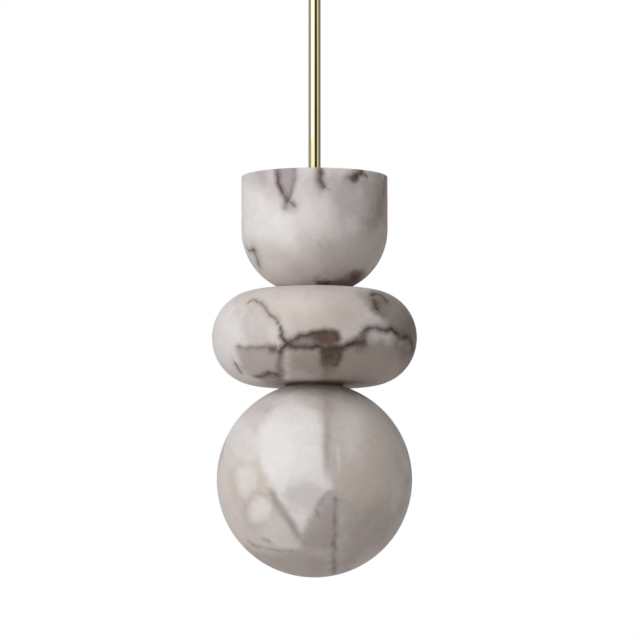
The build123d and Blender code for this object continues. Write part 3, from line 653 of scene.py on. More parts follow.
def nodes_result(obj, tree, values):
    """The plain mesh that a Geometry Nodes tree makes from obj, with its named inputs set."""
    modifier = obj.modifiers.new("make", "NODES")
    modifier.node_group = tree
    for socket in tree.interface.items_tree:
        if socket.in_out == "INPUT" and socket.name in values:
            modifier[socket.identifier] = values[socket.name]
    obj.update_tag()
    bpy.context.view_layer.update()
    graph = bpy.context.evaluated_depsgraph_get()
    mesh = bpy.data.meshes.new_from_object(obj.evaluated_get(graph), depsgraph=graph)
    obj.modifiers.remove(modifier)
    return mesh


def line_object(name, points):
    """A mesh of edges through points in millimetres, linked to the scene."""
    mesh = bpy.data.meshes.new(name)
    places = [tuple(MM * value for value in point) for point in points]
    mesh.from_pydata(places, [(i, i + 1) for i in range(len(points) - 1)], [])
    obj = bpy.data.objects.new(name, mesh)
    bpy.context.scene.collection.objects.link(obj)
    return obj


SHARP_ANGLE = math.radians(35)  # edges that turn by more stay crisp


def tidy_mesh(mesh):
    """Merges doubles, points every face outwards and keeps crisp edges crisp."""
    form = bmesh.new()
    form.from_mesh(mesh)
    bmesh.ops.remove_doubles(form, verts=form.verts, dist=0.001 * MM)
    bmesh.ops.dissolve_degenerate(form, edges=form.edges, dist=0.0005 * MM)
    bmesh.ops.recalc_face_normals(form, faces=form.faces)
    form.to_mesh(mesh)
    form.free()
    mesh.shade_smooth()
    mesh.set_sharp_from_angle(angle=SHARP_ANGLE)
    mesh.update()


def turned_piece(name, profiles, segments, material):
    """One object from closed profiles of (radius, height) in millimetres, turned about Z."""
    tree = bpy.data.node_groups.get("lathe") or lathe_tree()
    form = bmesh.new()
    for profile in profiles:
        line = line_object(name + "_profile", [(r, 0, z) for r, z in [*profile, profile[0]]])
        mesh = nodes_result(line, tree, {"Segments": segments, "Finish": material})
        form.from_mesh(mesh)
        bpy.data.meshes.remove(mesh)
        bpy.data.objects.remove(line)
    made = bpy.data.meshes.new(name)
    form.to_mesh(made)
    form.free()
    made.materials.append(material)
    tidy_mesh(made)
    obj = bpy.data.objects.new(name, made)
    bpy.context.scene.collection.objects.link(obj)
    return obj


def straight(start, end, step):
    """Points along a straight run, without its end."""
    count = max(1, round(math.dist(start, end) / step))
    return [
        (start[0] + (end[0] - start[0]) * i / count, start[1] + (end[1] - start[1]) * i / count)
        for i in range(count)
    ]


def arc(centre, reach, start, end, step):
    """Points along an oval arc from start to end degrees, without its last point."""
    across, up = reach
    count = max(2, round(math.radians(abs(end - start)) * max(across, up) / step))
    turns = [math.radians(start + (end - start) * i / count) for i in range(count)]
    return [(centre[0] + across * math.cos(t), centre[1] + up * math.sin(t)) for t in turns]


def ring_profile(inner, outer, low, high, round_edge):
    """A ring's section with its outer corners softened."""
    e = round_edge
    return [
        (inner, low),
        (outer - e, low),
        (outer - 0.3 * e, low + 0.3 * e),
        (outer, low + e),
        (outer, high - e),
        (outer - 0.3 * e, high - 0.3 * e),
        (outer - e, high),
        (inner, high),
    ]


# --- Stones: sections -----------------------------------------------------------------------------
STONE_WALL = 12.0
STONE_BORE = 20.0
PIPE_HOLE = 5.05  # radius of a hole that the lamp pipe goes through
BOWL_FOOT = 31.0
BOWL_STRAIGHT = 52.3  # the upright part of the bowl's side, below the rim
BOWL_SOCKET = 5.3  # recess in the foot for the joint plate
RIM_ROUND = 1.2
FOOT_EDGE = 0.5
DISC_REACH = 44.0  # how far the disc's rounded edge reaches in
BALL_CROWN = 13.0  # stone left above the ledge inside the ball
OUTSIDE_STEP = 1.5  # spacing of points along a visible section
RIM_STEP = 0.3
FLOOR_STEP = 3.0
DISC_FLAT_STEP = 2.0
HIDDEN_STEP = 8.0


def in_mm(node):
    """Lowest and highest corner of a CAD node, in millimetres."""
    low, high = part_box(node)
    return low / MM, high / MM


def bowl_section():
    """The closed section of the bowl, its outside alone, and the height that its tables start from."""
    low, high = in_mm("alabaster_bowl")
    radius, foot_z, rim_z = high.x, low.z, high.z
    bend_z = rim_z - BOWL_STRAIGHT
    bend_in, bend_height = radius - BOWL_FOOT, bend_z - foot_z
    bend = (bend_in**2 + bend_height**2) / (2 * bend_in)
    hub = (radius - bend, bend_z)
    inner = bend - STONE_WALL
    floor_z = foot_z + STONE_WALL
    floor_turn = math.degrees(math.asin((bend_z - floor_z) / inner))
    foot_turn = math.degrees(math.asin(bend_height / bend))
    rim = RIM_ROUND
    plate_top = foot_z + BOWL_SOCKET
    outside = [
        *arc((radius - rim, rim_z - rim), (rim, rim), 90, 0, RIM_STEP),
        *straight((radius, rim_z - rim), (radius, bend_z), OUTSIDE_STEP),
        *arc(hub, (bend, bend), 0, -foot_turn, OUTSIDE_STEP),
        (BOWL_FOOT, foot_z),
    ]
    floor_radius = hub[0] + inner * math.cos(math.radians(floor_turn))
    profile = [
        *straight((PIPE_HOLE, floor_z), (floor_radius, floor_z), FLOOR_STEP),
        *arc(hub, (inner, inner), -floor_turn, 0, OUTSIDE_STEP),
        *straight((radius - STONE_WALL, bend_z), (radius - STONE_WALL, rim_z - rim), OUTSIDE_STEP),
        *arc((radius - STONE_WALL + rim, rim_z - rim), (rim, rim), 180, 90, RIM_STEP),
        *straight((radius - STONE_WALL + rim, rim_z), (radius - rim, rim_z), OUTSIDE_STEP),
        *outside,
        *straight((BOWL_FOOT - FOOT_EDGE, foot_z), (STONE_BORE, foot_z), FLOOR_STEP),
        (STONE_BORE, foot_z),
        (STONE_BORE, plate_top),
        (PIPE_HOLE, plate_top),
    ]
    return profile, outside, rim_z


def disc_section():
    """The closed section of the disc, its outside alone, and the height that its tables start from."""
    low, high = in_mm("alabaster_disc")
    radius, under_z, top_z = high.x, low.z, high.z
    edge = radius - DISC_REACH
    middle, half = (top_z + under_z) / 2, (top_z - under_z) / 2
    outside = arc((edge, middle), (DISC_REACH, half), 90, -90, OUTSIDE_STEP)
    hollow = (DISC_REACH - STONE_WALL, half - STONE_WALL)
    inside = arc((edge, middle), hollow, -90, 90, HIDDEN_STEP)
    profile = [
        *straight((STONE_BORE, top_z), (edge, top_z), DISC_FLAT_STEP),
        *outside,
        *straight((edge, under_z), (STONE_BORE, under_z), DISC_FLAT_STEP),
        (STONE_BORE, under_z),
        *straight((STONE_BORE, under_z + STONE_WALL), (edge, under_z + STONE_WALL), HIDDEN_STEP),
        *inside,
        *straight((edge, top_z - STONE_WALL), (STONE_BORE, top_z - STONE_WALL), HIDDEN_STEP),
        (STONE_BORE, top_z - STONE_WALL),
    ]
    return profile, outside, middle


def ball_section():
    """The closed section of the ball, its outside alone, and the height that its tables start from."""
    low, high = in_mm("alabaster_ball")
    radius, seat_z = high.x, high.z
    centre_z = low.z + radius
    seat_turn = math.degrees(math.asin((seat_z - centre_z) / radius))
    inner = radius - STONE_WALL
    ledge_z = seat_z - BALL_CROWN
    ledge_turn = math.degrees(math.asin((ledge_z - centre_z) / inner))
    outside = arc((0, centre_z), (radius, radius), seat_turn, -90, OUTSIDE_STEP)
    profile = [
        *straight(
            (STONE_BORE, seat_z), (radius * math.cos(math.radians(seat_turn)), seat_z), OUTSIDE_STEP
        ),
        *outside,
        (0, centre_z - radius),
        *arc((0, centre_z), (inner, inner), -90, ledge_turn, HIDDEN_STEP),
        (inner * math.cos(math.radians(ledge_turn)), ledge_z),
        (STONE_BORE, ledge_z),
    ]
    return profile, outside, centre_z


# --- Stones: clouds and veins ---------------------------------------------------------------------
# Places are millimetres in the front view, as the camera sees the stone: (across, up) from the
# axis and from the middle of the stone, or for the bowl from the front of its rim.
# A cloud is (colour, weight, softness, shape). Its shape is an outline of places, or an oval:
# (across, up, half width, half height, turn in degrees).
# A vein is (layer, half width, strength, stain, course). Veins that cross have other layers.
BOWL_CLOUDS = [
    ("pearl", 0.7, 10, (-10, -55, 75, 70, 0)),
    ("milk", 0.5, 6, [(-14, 4), (38, 4), (34, -8), (-12, -10)]),
    ("milk", 0.8, 9, [
        (-76, -12), (-51, -22), (-38, -35), (-24, -48), (-14, -64), (-24, -79), (-51, -72), (-76, -67),
    ]),
    ("milk", 0.35, 9, [(-76, -67), (-20, -74), (4, -84), (4, -120), (-40, -120), (-76, -90)]),
    ("lavender", 0.55, 4, [(-57, 2), (-45, 2), (-47, -18), (-55, -16)]),
    ("milk", 0.3, 8, (2, -40, 17, 20, 0)),
    ("lavender", 0.45, 9, [(20, -11), (37, -11), (41, -45), (25, -57), (15, -35)]),
    ("lavender", 1.0, 3, [
        (-34, 3), (-20, 3), (-18, -13), (-22, -27), (-25, -32), (-31, -23), (-34, -15),
    ]),
    ("vein", 0.13, 4, [(-33, 3), (-21, 3), (-19, -13), (-24, -28), (-30, -20), (-33, -12)]),
    ("taupe", 0.45, 5, (-24, -38, 8, 7, 0)),
    ("beige", 0.25, 9, [(-70, -66), (-24, -76), (3, -84), (12, -108), (-24, -118), (-58, -99)]),
    ("taupe", 0.42, 11, [
        (46, -14), (80, -5), (80, -64), (62, -95), (38, -114), (12, -118), (12, -98), (2, -72),
        (20, -67), (40, -58),
    ]),
    ("taupe", 0.22, 10, (0, -90, 24, 18, 0)),
    ("umber", 0.6, 4, [
        (2, -109), (17, -109), (30, -107), (38, -101), (50, -102), (42, -120), (0, -120),
    ]),
    ("rust", 0.5, 3, (41, -105, 6, 4, 20)),
    ("umber", 0.4, 4, (4, -10, 4, 12, 8)),
    ("lavender", 0.4, 5, (40, -12, 10, 8, 0)),
    ("rust", 0.9, 3, (39, -9, 4, 4, 0)),
    ("rust", 0.4, 4, (34, -8, 6, 4, 20)),
    ("umber", 0.4, 7, (60, -41, 6, 20, -15)),
    ("umber", 0.3, 4, (-56, -88, 3, 10, 20)),
]
BOWL_VEINS = [
    (0, 1.3, 0.95, 4, [(-35, 2), (-36, -6), (-35, -14), (-33, -20), (-30, -26), (-25, -33)]),
    (0, 1.0, 0.6, 3, [(-25, -33), (-21, -36), (-18, -39)]),
    (1, 0.9, 0.5, 4, [(-19, 2), (-19, -6), (-19, -12), (-21, -18), (-23, -25), (-25, -33)]),
    (1, 2.2, 0.25, 5, [(-25, -32), (-27, -37), (-29, -42)]),
    (2, 1.6, 0.5, 3, [(-19, -9), (-19, -13)]),
    (2, 1.3, 0.85, 4, [(7, 2), (6, -5), (5, -10), (6, -13), (9, -17), (12, -20)]),
    (0, 1.6, 0.95, 3, [(39, -2), (43, -1), (46, -4), (42, -6), (40, -10)]),
    (1, 0.9, 0.7, 3, [(43, -3), (47, -5), (50, -8), (51, -11)]),
    # painted shade: a soft dark band along the bowl's right outline, drawn as a vein
    (0, 1.8, 0.35, 4, [(69, 0), (69, -9), (68, -18), (66, -27)]),
    (0, 0.9, 0.7, 3, [(-67, -76), (-63, -80), (-60, -79), (-57, -80)]),
    (1, 1.0, 0.6, 4, [(-60, -77), (-58, -82), (-56, -88), (-53, -97)]),
    (0, 1.6, 0.7, 3, [(2, -111), (9, -112), (16, -111)]),
    (0, 1.6, 0.6, 3, [(35, -104), (39, -107), (44, -103)]),
]
DISC_CLOUDS = [
    ("pearl", 0.6, 12, (-20, 0, 90, 60, 0)),
    ("milk", 0.7, 9, (-86, 2, 16, 34, 0)),
    ("beige", 0.5, 9, [
        (-51, 37), (-14, 50), (44, 50), (56, 28), (44, 13), (15, 9), (-14, 8), (-29, 13), (-39, 26),
    ]),
    ("milk", 0.35, 8, (-15, 36, 34, 9, 0)),
    ("taupe", 0.95, 7, [
        (-26, -12), (-6, -12), (7, -12), (23, -12), (46, -6), (64, -4), (104, -8), (98, -40), (60, -52),
        (-26, -52),
    ]),
    # painted light: a paler patch on the disc's underside that lifts the contact shadow above the ball
    ("pearl", 0.5, 6, [(-28, -34), (6, -34), (6, -50), (-28, -50)]),
    ("taupe", 0.9, 8, [(54, 50), (82, 46), (104, 20), (104, -7), (84, -2), (69, 11), (57, 26)]),
    ("umber", 0.5, 9, (94, -4, 13, 32, 0)),
    ("taupe", 0.9, 3, [
        (-24, -4), (-13, 3), (0, 5), (20, 6), (24, 0), (22, -9), (12, -11), (3, -8), (-10, -9),
    ]),
    ("umber", 0.75, 5, [(-2, 5), (12, 8), (24, 6), (25, -6), (14, -9), (0, -3)]),
    ("vein", 0.5, 4, (6, 0, 8, 6, 0)),
    ("rust", 0.4, 4, (16, 0, 8, 6, 0)),
    ("taupe", 0.6, 4, [(-75, -9), (-38, -8), (-30, -12), (-31, -39), (-55, -40), (-71, -29)]),
    ("umber", 0.65, 4, [(-36, -12), (-30, -12), (-30, -42), (-36, -42)]),
    ("umber", 1.0, 5, [(5, -10), (24, -11), (22, -24), (10, -26)]),
    ("vein", 0.75, 5, (14, -15, 9, 6, 0)),
    ("umber", 0.55, 6, (15, -24, 7, 9, 0)),
    ("umber", 0.6, 6, [(36, -4), (48, 4), (52, -12), (40, -13)]),
    ("umber", 0.5, 7, [(46, 42), (60, 42), (70, 36), (66, 22), (54, 24)]),
    ("umber", 0.6, 4, [(-56, -36), (-48, -33), (-36, -33), (-32, -40), (-46, -45)]),
    ("umber", 0.4, 4, (-40, -11, 7, 4, 0)),
]
DISC_VEINS = [
    (0, 0.9, 0.7, 4, [(-65, 34), (-60, 37), (-53, 35), (-47, 28), (-42, 23), (-37, 18), (-33, 12)]),
    (2, 1.2, 1.0, 3, [(-33, 12), (-32, 7), (-32, 2), (-27, -5), (-31, -10), (-32, -16)]),
    (1, 2.2, 1.0, 6, [
        (-27, -5), (-18, -8), (-6, -9), (3, -7), (12, -11), (23, -10), (32, -7), (41, -4), (47, -3),
        (46, 8),
    ]),
    (0, 1.5, 0.75, 5, [(-27, -5), (-24, -3), (-13, 2), (0, 4), (12, 6), (20, 4), (22, -3)]),
    (0, 1.1, 0.85, 4, [(53, 41), (59, 43), (65, 41), (71, 34)]),
    (1, 1.4, 0.7, 4, [(57, 39), (60, 32), (61, 26)]),
    (0, 1.7, 0.95, 5, [(46, 6), (56, 10), (66, 8), (74, 8), (82, 2), (91, 0), (95, -6), (96, -15)]),
    (2, 1.0, 0.45, 4, [(-75, -9), (-56, -9), (-44, -9), (-36, -9)]),
    (1, 1.8, 0.6, 4, [(-45, -10), (-40, -11), (-36, -12)]),
    (0, 1.0, 0.6, 4, [(-77, -22), (-76, -25), (-73, -31), (-70, -35)]),
    (0, 1.4, 0.85, 4, [(-58, -38), (-49, -36), (-43, -33), (-38, -34), (-33, -38)]),
    (2, 1.2, 0.5, 4, [(8, -11), (7, -19), (9, -27)]),
    (0, 1.2, 0.5, 4, [(22, -10), (23, -18), (20, -27)]),
]
BALL_CLOUDS = [
    ("pearl", 0.6, 20, (-30, 0, 80, 100, 0)),
    ("beige", 0.3, 12, (-68, -40, 26, 60, -20)),
    ("taupe", 0.32, 5, [
        (9, 80), (35, 84), (70, 66), (92, 32), (100, 0), (96, -44), (74, -76), (38, -96), (0, -100),
        (-12, -66), (4, -40), (16, -20), (15, 10), (10, 39),
    ]),
    ("pearl", 0.5, 12, (50, 34, 36, 52, 10)),
    ("beige", 0.5, 12, (60, 20, 30, 50, 0)),
    ("milk", 0.35, 9, (38, 46, 9, 24, 0)),
    ("beige", 0.4, 9, (40, 0, 18, 20, 0)),
    ("taupe", 0.5, 14, [(22, -26), (44, -20), (92, -20), (86, -60), (56, -86), (22, -98), (19, -64)]),
    ("taupe", 0.65, 8, [
        (-66, -66), (-34, -70), (-14, -64), (15, -76), (8, -100), (-29, -98), (-58, -84),
    ]),
    ("milk", 0.9, 5, [
        (-51, 54), (-39, 70), (-19, 77), (0, 71), (6, 49), (7, 24), (11, 10), (16, -4), (11, -12),
        (4, -20), (0, -31), (-8, -46), (-17, -54), (-22, -41), (-29, -28), (-38, -14), (-45, 2),
        (-52, 19), (-56, 39),
    ]),
    ("lavender", 0.4, 8, (-10, -14, 18, 16, -20)),
    # painted light: a pale strip on the ball's top that lifts the shadow the disc casts there
    ("milk", 0.5, 6, (-24, 80, 24, 8, 0)),
    ("taupe", 0.5, 3, (11, 40, 3, 27, 0)),
    ("taupe", 0.3, 6, (8, 76, 14, 8, 0)),
    # painted shade: a brown strip across the ball's top, just under the disc
    ("umber", 0.3, 6, (12, 92, 44, 8, 0)),
    ("pearl", 0.6, 3, (34, 47, 4, 18, 4)),
    ("milk", 0.4, 1.5, (23, 24, 2, 10, 3)),
    ("lavender", 0.7, 3, [(5, -20), (11, -12), (19, -8), (20, -20), (14, -27), (8, -28)]),
    ("taupe", 0.6, 5, [(-11, -44), (1, -26), (13, -24), (18, -31), (18, -64), (3, -67), (-14, -60)]),
    ("beige", 0.45, 5, (-68, -2, 15, 20, 0)),
    ("milk", 0.6, 5, [(-73, 12), (-64, 14), (-57, 8), (-57, -8), (-65, -18), (-72, -12)]),
    ("taupe", 0.25, 5, (-53, -28, 16, 19, -15)),
    ("milk", 0.8, 4, (-53, -28, 10, 13, -15)),
    ("pearl", 0.8, 4, [
        (-46, -30), (-37, -25), (-29, -36), (-22, -49), (-20, -62), (-31, -65), (-43, -58), (-49, -47),
    ]),
    ("taupe", 0.5, 4, [
        (-46, -4), (-38, -8), (-29, -22), (-22, -33), (-14, -48), (-8, -60), (-18, -56), (-32, -34),
    ]),
    ("milk", 0.35, 3, (-70, 40, 14, 22, 30)),
]
BALL_VEINS = [
    (0, 1.7, 0.34, 4, [(21, -14), (20, -22), (19, -36), (19, -52), (19, -60), (19, -72), (19, -92)]),
    (1, 1.3, 0.2, 3, [(19, -8), (11, -12), (5, -21), (3, -34)]),
    (2, 2.6, 0.16, 5, [(-42, -10), (-33, -23), (-26, -33), (-21, -44), (-14, -54)]),
    (0, 1.5, 0.18, 3, [(-66, -57), (-58, -62), (-39, -66), (-18, -67)]),
    (1, 1.5, 0.28, 3, [(-51, -54), (-46, -57), (-42, -59)]),
]


def soft_noise(points, size, seed):
    """Smooth noise from -1 to 1 at points in millimetres; size is the distance between its waves."""
    side = 24
    lattice = np.random.RandomState(seed).uniform(-1, 1, (side, side, side))
    place = points / size + 1000.0
    cell = np.floor(place).astype(int)
    part = place - cell
    part = part * part * (3 - 2 * part)
    total = np.zeros(len(points))
    for corner in range(8):
        step = np.array([corner & 1, corner >> 1 & 1, corner >> 2 & 1])
        weight = np.prod(np.where(step, part, 1 - part), axis=1)
        at = (cell + step) % side
        total += weight * lattice[at[:, 0], at[:, 1], at[:, 2]]
    return total


def rough_noise(points, size, seed, octaves=4):
    """Noise with finer and finer waves, still from about -1 to 1."""
    layers = [soft_noise(points, size / 2**i, seed + i) * 0.55**i for i in range(octaves)]
    return sum(layers) / 1.4


def ease(values, low, high):
    """0 below low, 1 above high and a soft step between."""
    t = np.clip((values - low) / (high - low), 0, 1)
    return t * t * (3 - 2 * t)


def cloud_reach(across, up, shape):
    """How far inside a cloud's edge each place is, in millimetres; outside it is negative."""
    if isinstance(shape, tuple):
        x, y, half_x, half_y, turn = shape
        turn = math.radians(turn)
        dx, dy = across - x, up - y
        a = (dx * math.cos(turn) + dy * math.sin(turn)) / half_x
        b = (-dx * math.sin(turn) + dy * math.cos(turn)) / half_y
        return (1 - np.hypot(a, b)) * min(half_x, half_y)
    nearest = np.full(len(across), 1e9)
    inside = np.zeros(len(across), bool)
    for (x0, y0), (x1, y1) in zip(shape, [*shape[1:], shape[0]]):
        run_x, run_y = x1 - x0, y1 - y0
        t = np.clip(((across - x0) * run_x + (up - y0) * run_y) / (run_x**2 + run_y**2), 0, 1)
        nearest = np.minimum(nearest, np.hypot(across - x0 - t * run_x, up - y0 - t * run_y))
        if y0 != y1:
            crosses = (up < max(y0, y1)) & (up >= min(y0, y1)) & (across < x0 + (up - y0) * run_x / run_y)
            inside ^= crosses
    return np.where(inside, nearest, -nearest)


CLOUD_SWAY = 5.0  # how far the softest clouds' edges wander, in millimetres
# Distance between the waves of each noise, in millimetres. Each use takes seeds of its own.
LARGE_DRIFT, WARM_DRIFT, FINE_DRIFT = 52, 70, 17
EDGE_SWAY, EDGE_FRAY, SEAM_SWAY = 15, 5, 30
VEIN_SWAY, VEIN_TREMBLE, VEIN_FADING = 9.0, 3.5, 14.0
VEIN_LIMIT = 9.0  # distances from a vein are kept up to this many of its half widths
VEIN_NEAR = 14  # skin farther than this from a vein isn't stained by it
VEIN_END, VEIN_FADE = 6.0, 2.5  # a vein's line ends this far from its course, over this length
TAPER = 2.5  # points of a course over which a vein's ends thin out
HIDDEN_VEINS, HIDDEN_CLOUDS = 5, 16  # on the sides that the photograph doesn't show
BRANCH_KNOT = 4  # the point of a hidden vein where a thinner one leaves it


class StoneSkin:
    """Where things lie on the outside of one turned stone."""

    def __init__(self, outside, middle):
        heights = np.array([z for _, z in outside])
        order = np.argsort(heights)
        self.heights = heights[order]
        self.radii = np.array([r for r, _ in outside])[order]
        self.middle = middle

    def radius(self, z):
        return float(np.interp(z, self.heights, self.radii))

    def round_point(self, turn, z):
        """The point at a compass turn in radians and a height."""
        r = self.radius(z)
        return np.array([r * math.sin(turn), -r * math.cos(turn), z])

    def front_point(self, across, up, rim_front=0.0):
        """The point that the camera sees at (across, up)."""
        z = self.middle + up
        for _ in range(25):
            depth = math.sqrt(max(self.radius(z) ** 2 - across**2, 0.0))
            seen = (up + rim_front - depth * math.sin(CAMERA_TILT)) / math.cos(CAMERA_TILT)
            z = self.middle + seen
            z = min(max(z, self.heights[0]), self.heights[-1])
        depth = math.sqrt(max(self.radius(z) ** 2 - across**2, 0.0))
        return np.array([across, -depth, z])

    def normal(self, point):
        """Outward direction at a point of the skin."""
        z = point[2]
        slope = self.radius(z + 0.5) - self.radius(z - 0.5)
        flat = math.hypot(point[0], point[1]) or 1.0
        way = np.array([point[0] / flat, point[1] / flat, -slope])
        return way / np.linalg.norm(way)


def smooth_course(points, step):
    """Points every step or so along a smooth curve through the given ones."""
    course = []
    ends = [points[0], *points, points[-1]]
    for a, b, c, d in zip(ends, ends[1:], ends[2:], ends[3:]):
        a, b, c, d = (np.array(p, float) for p in (a, b, c, d))
        count = max(1, int(np.linalg.norm(c - b) / step))
        for i in range(count):
            t = i / count
            square, cube = 2 * a - 5 * b + 4 * c - d, 3 * b - a - 3 * c + d
            course.append(0.5 * (2 * b + (c - a) * t + square * t**2 + cube * t**3))
    course.append(np.array(points[-1], float))
    return course


def wandering_veins(skin, rng, count):
    """Veins for the unseen sides, each (layer, half width, strength, stain, points in space)."""
    veins = []
    low, high = skin.heights[0], skin.heights[-1]
    tall = high - low
    starts = [
        (
            math.radians(rng.uniform(100, 260)),
            rng.uniform(low + 0.1 * tall, high - 0.1 * tall),
            rng.uniform(0, math.tau),
            1.0,
        )
        for _ in range(count)
    ]
    for number, (turn, z, heading, power) in enumerate(starts):
        course = []
        drift = rng.uniform(-0.06, 0.06)
        for knot in range(rng.randint(9, 15)):
            course.append(skin.round_point(turn, z))
            heading += drift + rng.uniform(-0.35, 0.35)
            reach = rng.uniform(6, 11)
            turn += reach * math.cos(heading) / max(skin.radius(z), 20)
            z = min(max(z + reach * math.sin(heading), low + 1), high - 1)
            if not math.radians(88) < turn < math.radians(272):
                break
            if power == 1.0 and knot == BRANCH_KNOT:
                starts.append((turn, z, heading + rng.choice([-0.9, 0.9]), 0.7))
        if len(course) > 2:
            half_width, strength = rng.uniform(0.9, 1.6), power * rng.uniform(0.4, 0.9)
            veins.append((number % VEIN_LAYERS, half_width, strength, rng.uniform(3, 6), course))
    return veins


def vein_samples(skin, veins, rim_front, seed):
    """Closely spaced points along every vein: (layer, place, side, half width, strength, stain)."""
    samples = []
    for number, (layer, half_width, strength, stain, points) in enumerate(veins):
        if len(points[0]) == 2:
            course = [skin.front_point(x, up, rim_front) for x, up in smooth_course(points, 1.0)]
        else:
            course = smooth_course(points, 1.0)
        course = np.array(course)
        # natural wander, smaller than the vein's own bends
        sway = np.stack([rough_noise(course, VEIN_SWAY, seed + 60 + axis) for axis in range(3)], axis=1)
        finer = np.stack(
            [soft_noise(course, VEIN_TREMBLE, seed + 70 + axis) for axis in range(3)], axis=1
        )
        course = course + 1.4 * sway + 0.6 * finer
        thickness = np.clip(1 + 0.6 * rough_noise(course, VEIN_SWAY, seed + 80 + number), 0.6, 1.7)
        darkness = np.clip(0.9 + 0.6 * rough_noise(course, VEIN_FADING, seed + 90 + number), 0.5, 1.0)
        count = len(course)
        for i, place in enumerate(course):
            ahead = course[min(i + 1, count - 1)] - course[max(i - 1, 0)]
            out = skin.normal(place)
            side = np.cross(out, ahead)
            length = np.linalg.norm(side)
            if length < 1e-6:
                continue
            end = min(i, count - 1 - i)
            taper = min(1.0, (end + 0.5) / TAPER)
            power = strength * taper * darkness[i]
            samples.append((layer, place, side / length, half_width * thickness[i], power, stain))
    return samples


def paint_stone(mesh, skin, clouds, veins, rim_front, seed, settings):
    """Writes the stone's clouds and the distance to its veins as attributes of its mesh."""
    count = len(mesh.vertices)
    place = np.empty(count * 3)
    mesh.vertices.foreach_get("co", place)
    place = place.reshape(-1, 3) / MM
    out = np.empty(count * 3, np.float32)
    mesh.vertices.foreach_get("normal", out)
    out = out.reshape(-1, 3)
    seen = -(out[:, 1] * math.cos(CAMERA_TILT) + out[:, 2] * math.sin(CAMERA_TILT))
    front = ease(seen + 0.2 * rough_noise(place, SEAM_SWAY, seed + 50), -0.5, -0.05)
    names = ("milk", "pearl", "lavender", "beige", "taupe", "umber", "rust", "vein")
    shades = {name: np.array(getattr(settings, name)[:3]) for name in names}
    # the ground: pearl, drifting to the other shades in large soft clouds
    drift = rough_noise(place, LARGE_DRIFT, seed)
    warm = rough_noise(place, WARM_DRIFT, seed + 10)
    fine = rough_noise(place, FINE_DRIFT, seed + 20)
    colour = np.repeat(shades["pearl"][None], count, axis=0)
    for name, weight in (
        ("milk", 0.8 * ease(drift + 0.3 * fine, 0.08, 0.4)),
        ("lavender", 0.75 * ease(-drift + 0.25 * fine, 0.12, 0.45)),
        ("beige", 0.6 * ease(warm + 0.2 * fine, 0.1, 0.4)),
    ):
        colour += weight[:, None] * (shades[name] - colour)
    # clouds as the camera sees them, with ragged edges, and a second set behind
    warp = np.stack([rough_noise(place, EDGE_SWAY, seed + 30 + axis, 3) for axis in range(2)], axis=1)
    across = place[:, 0]
    up = (place[:, 2] - skin.middle) * math.cos(CAMERA_TILT) - place[:, 1] * math.sin(CAMERA_TILT)
    up = up - rim_front
    ragged = rough_noise(place, EDGE_FRAY, seed + 40, 3)
    rng = random.Random(seed)
    low, high = skin.heights[0] - skin.middle - rim_front, skin.heights[-1] - skin.middle - rim_front
    behind = [
        (
            rng.choice(["milk", "milk", "lavender", "beige", "taupe", "taupe"]),
            rng.uniform(0.4, 0.8),
            rng.uniform(4, 9),
            (
                rng.uniform(-0.9, 0.9) * skin.radii.max(),
                rng.uniform(low, high),
                rng.uniform(8, 26),
                rng.uniform(8, 26),
                rng.uniform(-60, 60),
            ),
        )
        for _ in range(HIDDEN_CLOUDS)
    ]
    for patches, share in ((clouds, front), (behind, 1 - front)):
        for name, weight, softness, shape in patches:
            sway = min(CLOUD_SWAY, 0.7 * softness)
            inside = cloud_reach(across + sway * warp[:, 0], up + sway * warp[:, 1], shape)
            inside += 0.4 * softness * ragged
            amount = weight * share * ease(inside, -softness, softness)
            colour += amount[:, None] * (shades[name] - colour)
    # veins
    distance = np.full((count, VEIN_LAYERS), VEIN_LIMIT)
    strength = np.zeros((count, VEIN_LAYERS))
    samples = vein_samples(skin, veins + wandering_veins(skin, rng, HIDDEN_VEINS), rim_front, seed)
    for layer in range(VEIN_LAYERS):
        own = [s for s in samples if s[0] == layer]
        tree = kdtree.KDTree(len(own))
        for i, sample in enumerate(own):
            tree.insert(Vector(sample[1]), i)
        tree.balance()
        for v in range(count):
            point = place[v]
            _, i, away = tree.find(Vector(point))
            if away > VEIN_NEAR:
                continue
            _, at, side, half_width, power, stain = own[i]
            off = float(np.dot(point - at, side))
            half_width *= settings.vein_width
            distance[v, layer] = max(-VEIN_LIMIT, min(VEIN_LIMIT, off / half_width))
            strength[v, layer] = power * max(0.0, min(1.0, (VEIN_END - away) / VEIN_FADE))
            halo = 0.55 * power * math.exp(-((away / stain) ** 2))
            colour[v] += halo * (shades["umber"] - colour[v])
    for name, kind, values in (
        ("cloud", "FLOAT_COLOR", np.concatenate([colour, np.ones((count, 1))], axis=1)),
        ("vein_distance", "FLOAT_VECTOR", distance),
        ("vein_strength", "FLOAT_VECTOR", strength),
    ):
        channel = "color" if kind == "FLOAT_COLOR" else "vector"
        written = mesh.attributes.new(name, kind, "POINT")
        written.data.foreach_set(channel, values.astype(np.float32).ravel())


def make_stone(name, section, clouds, veins, seed, from_rim):
    """Turns, paints and mounts one stone."""
    settings = bpy.context.scene.pendant_stone
    profile, outside, middle = section()
    material = honed_alabaster("honed_" + name, settings)
    stone = turned_piece("turned_" + name, [profile], settings.segments, material)
    skin = StoneSkin(outside, middle)
    rim_front = skin.radii.max() * math.sin(CAMERA_TILT) if from_rim else 0.0
    paint_stone(stone.data, skin, clouds, veins, rim_front, seed, settings)
    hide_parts(name)
    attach(stone, "stem")


class PENDANT_OT_bowl(bpy.types.Operator):
    """Turn the open alabaster bowl"""

    bl_idname = "pendant.bowl"
    bl_label = "Alabaster bowl"

    def execute(self, context):
        make_stone("alabaster_bowl", bowl_section, BOWL_CLOUDS, BOWL_VEINS, 11, True)
        return {"FINISHED"}


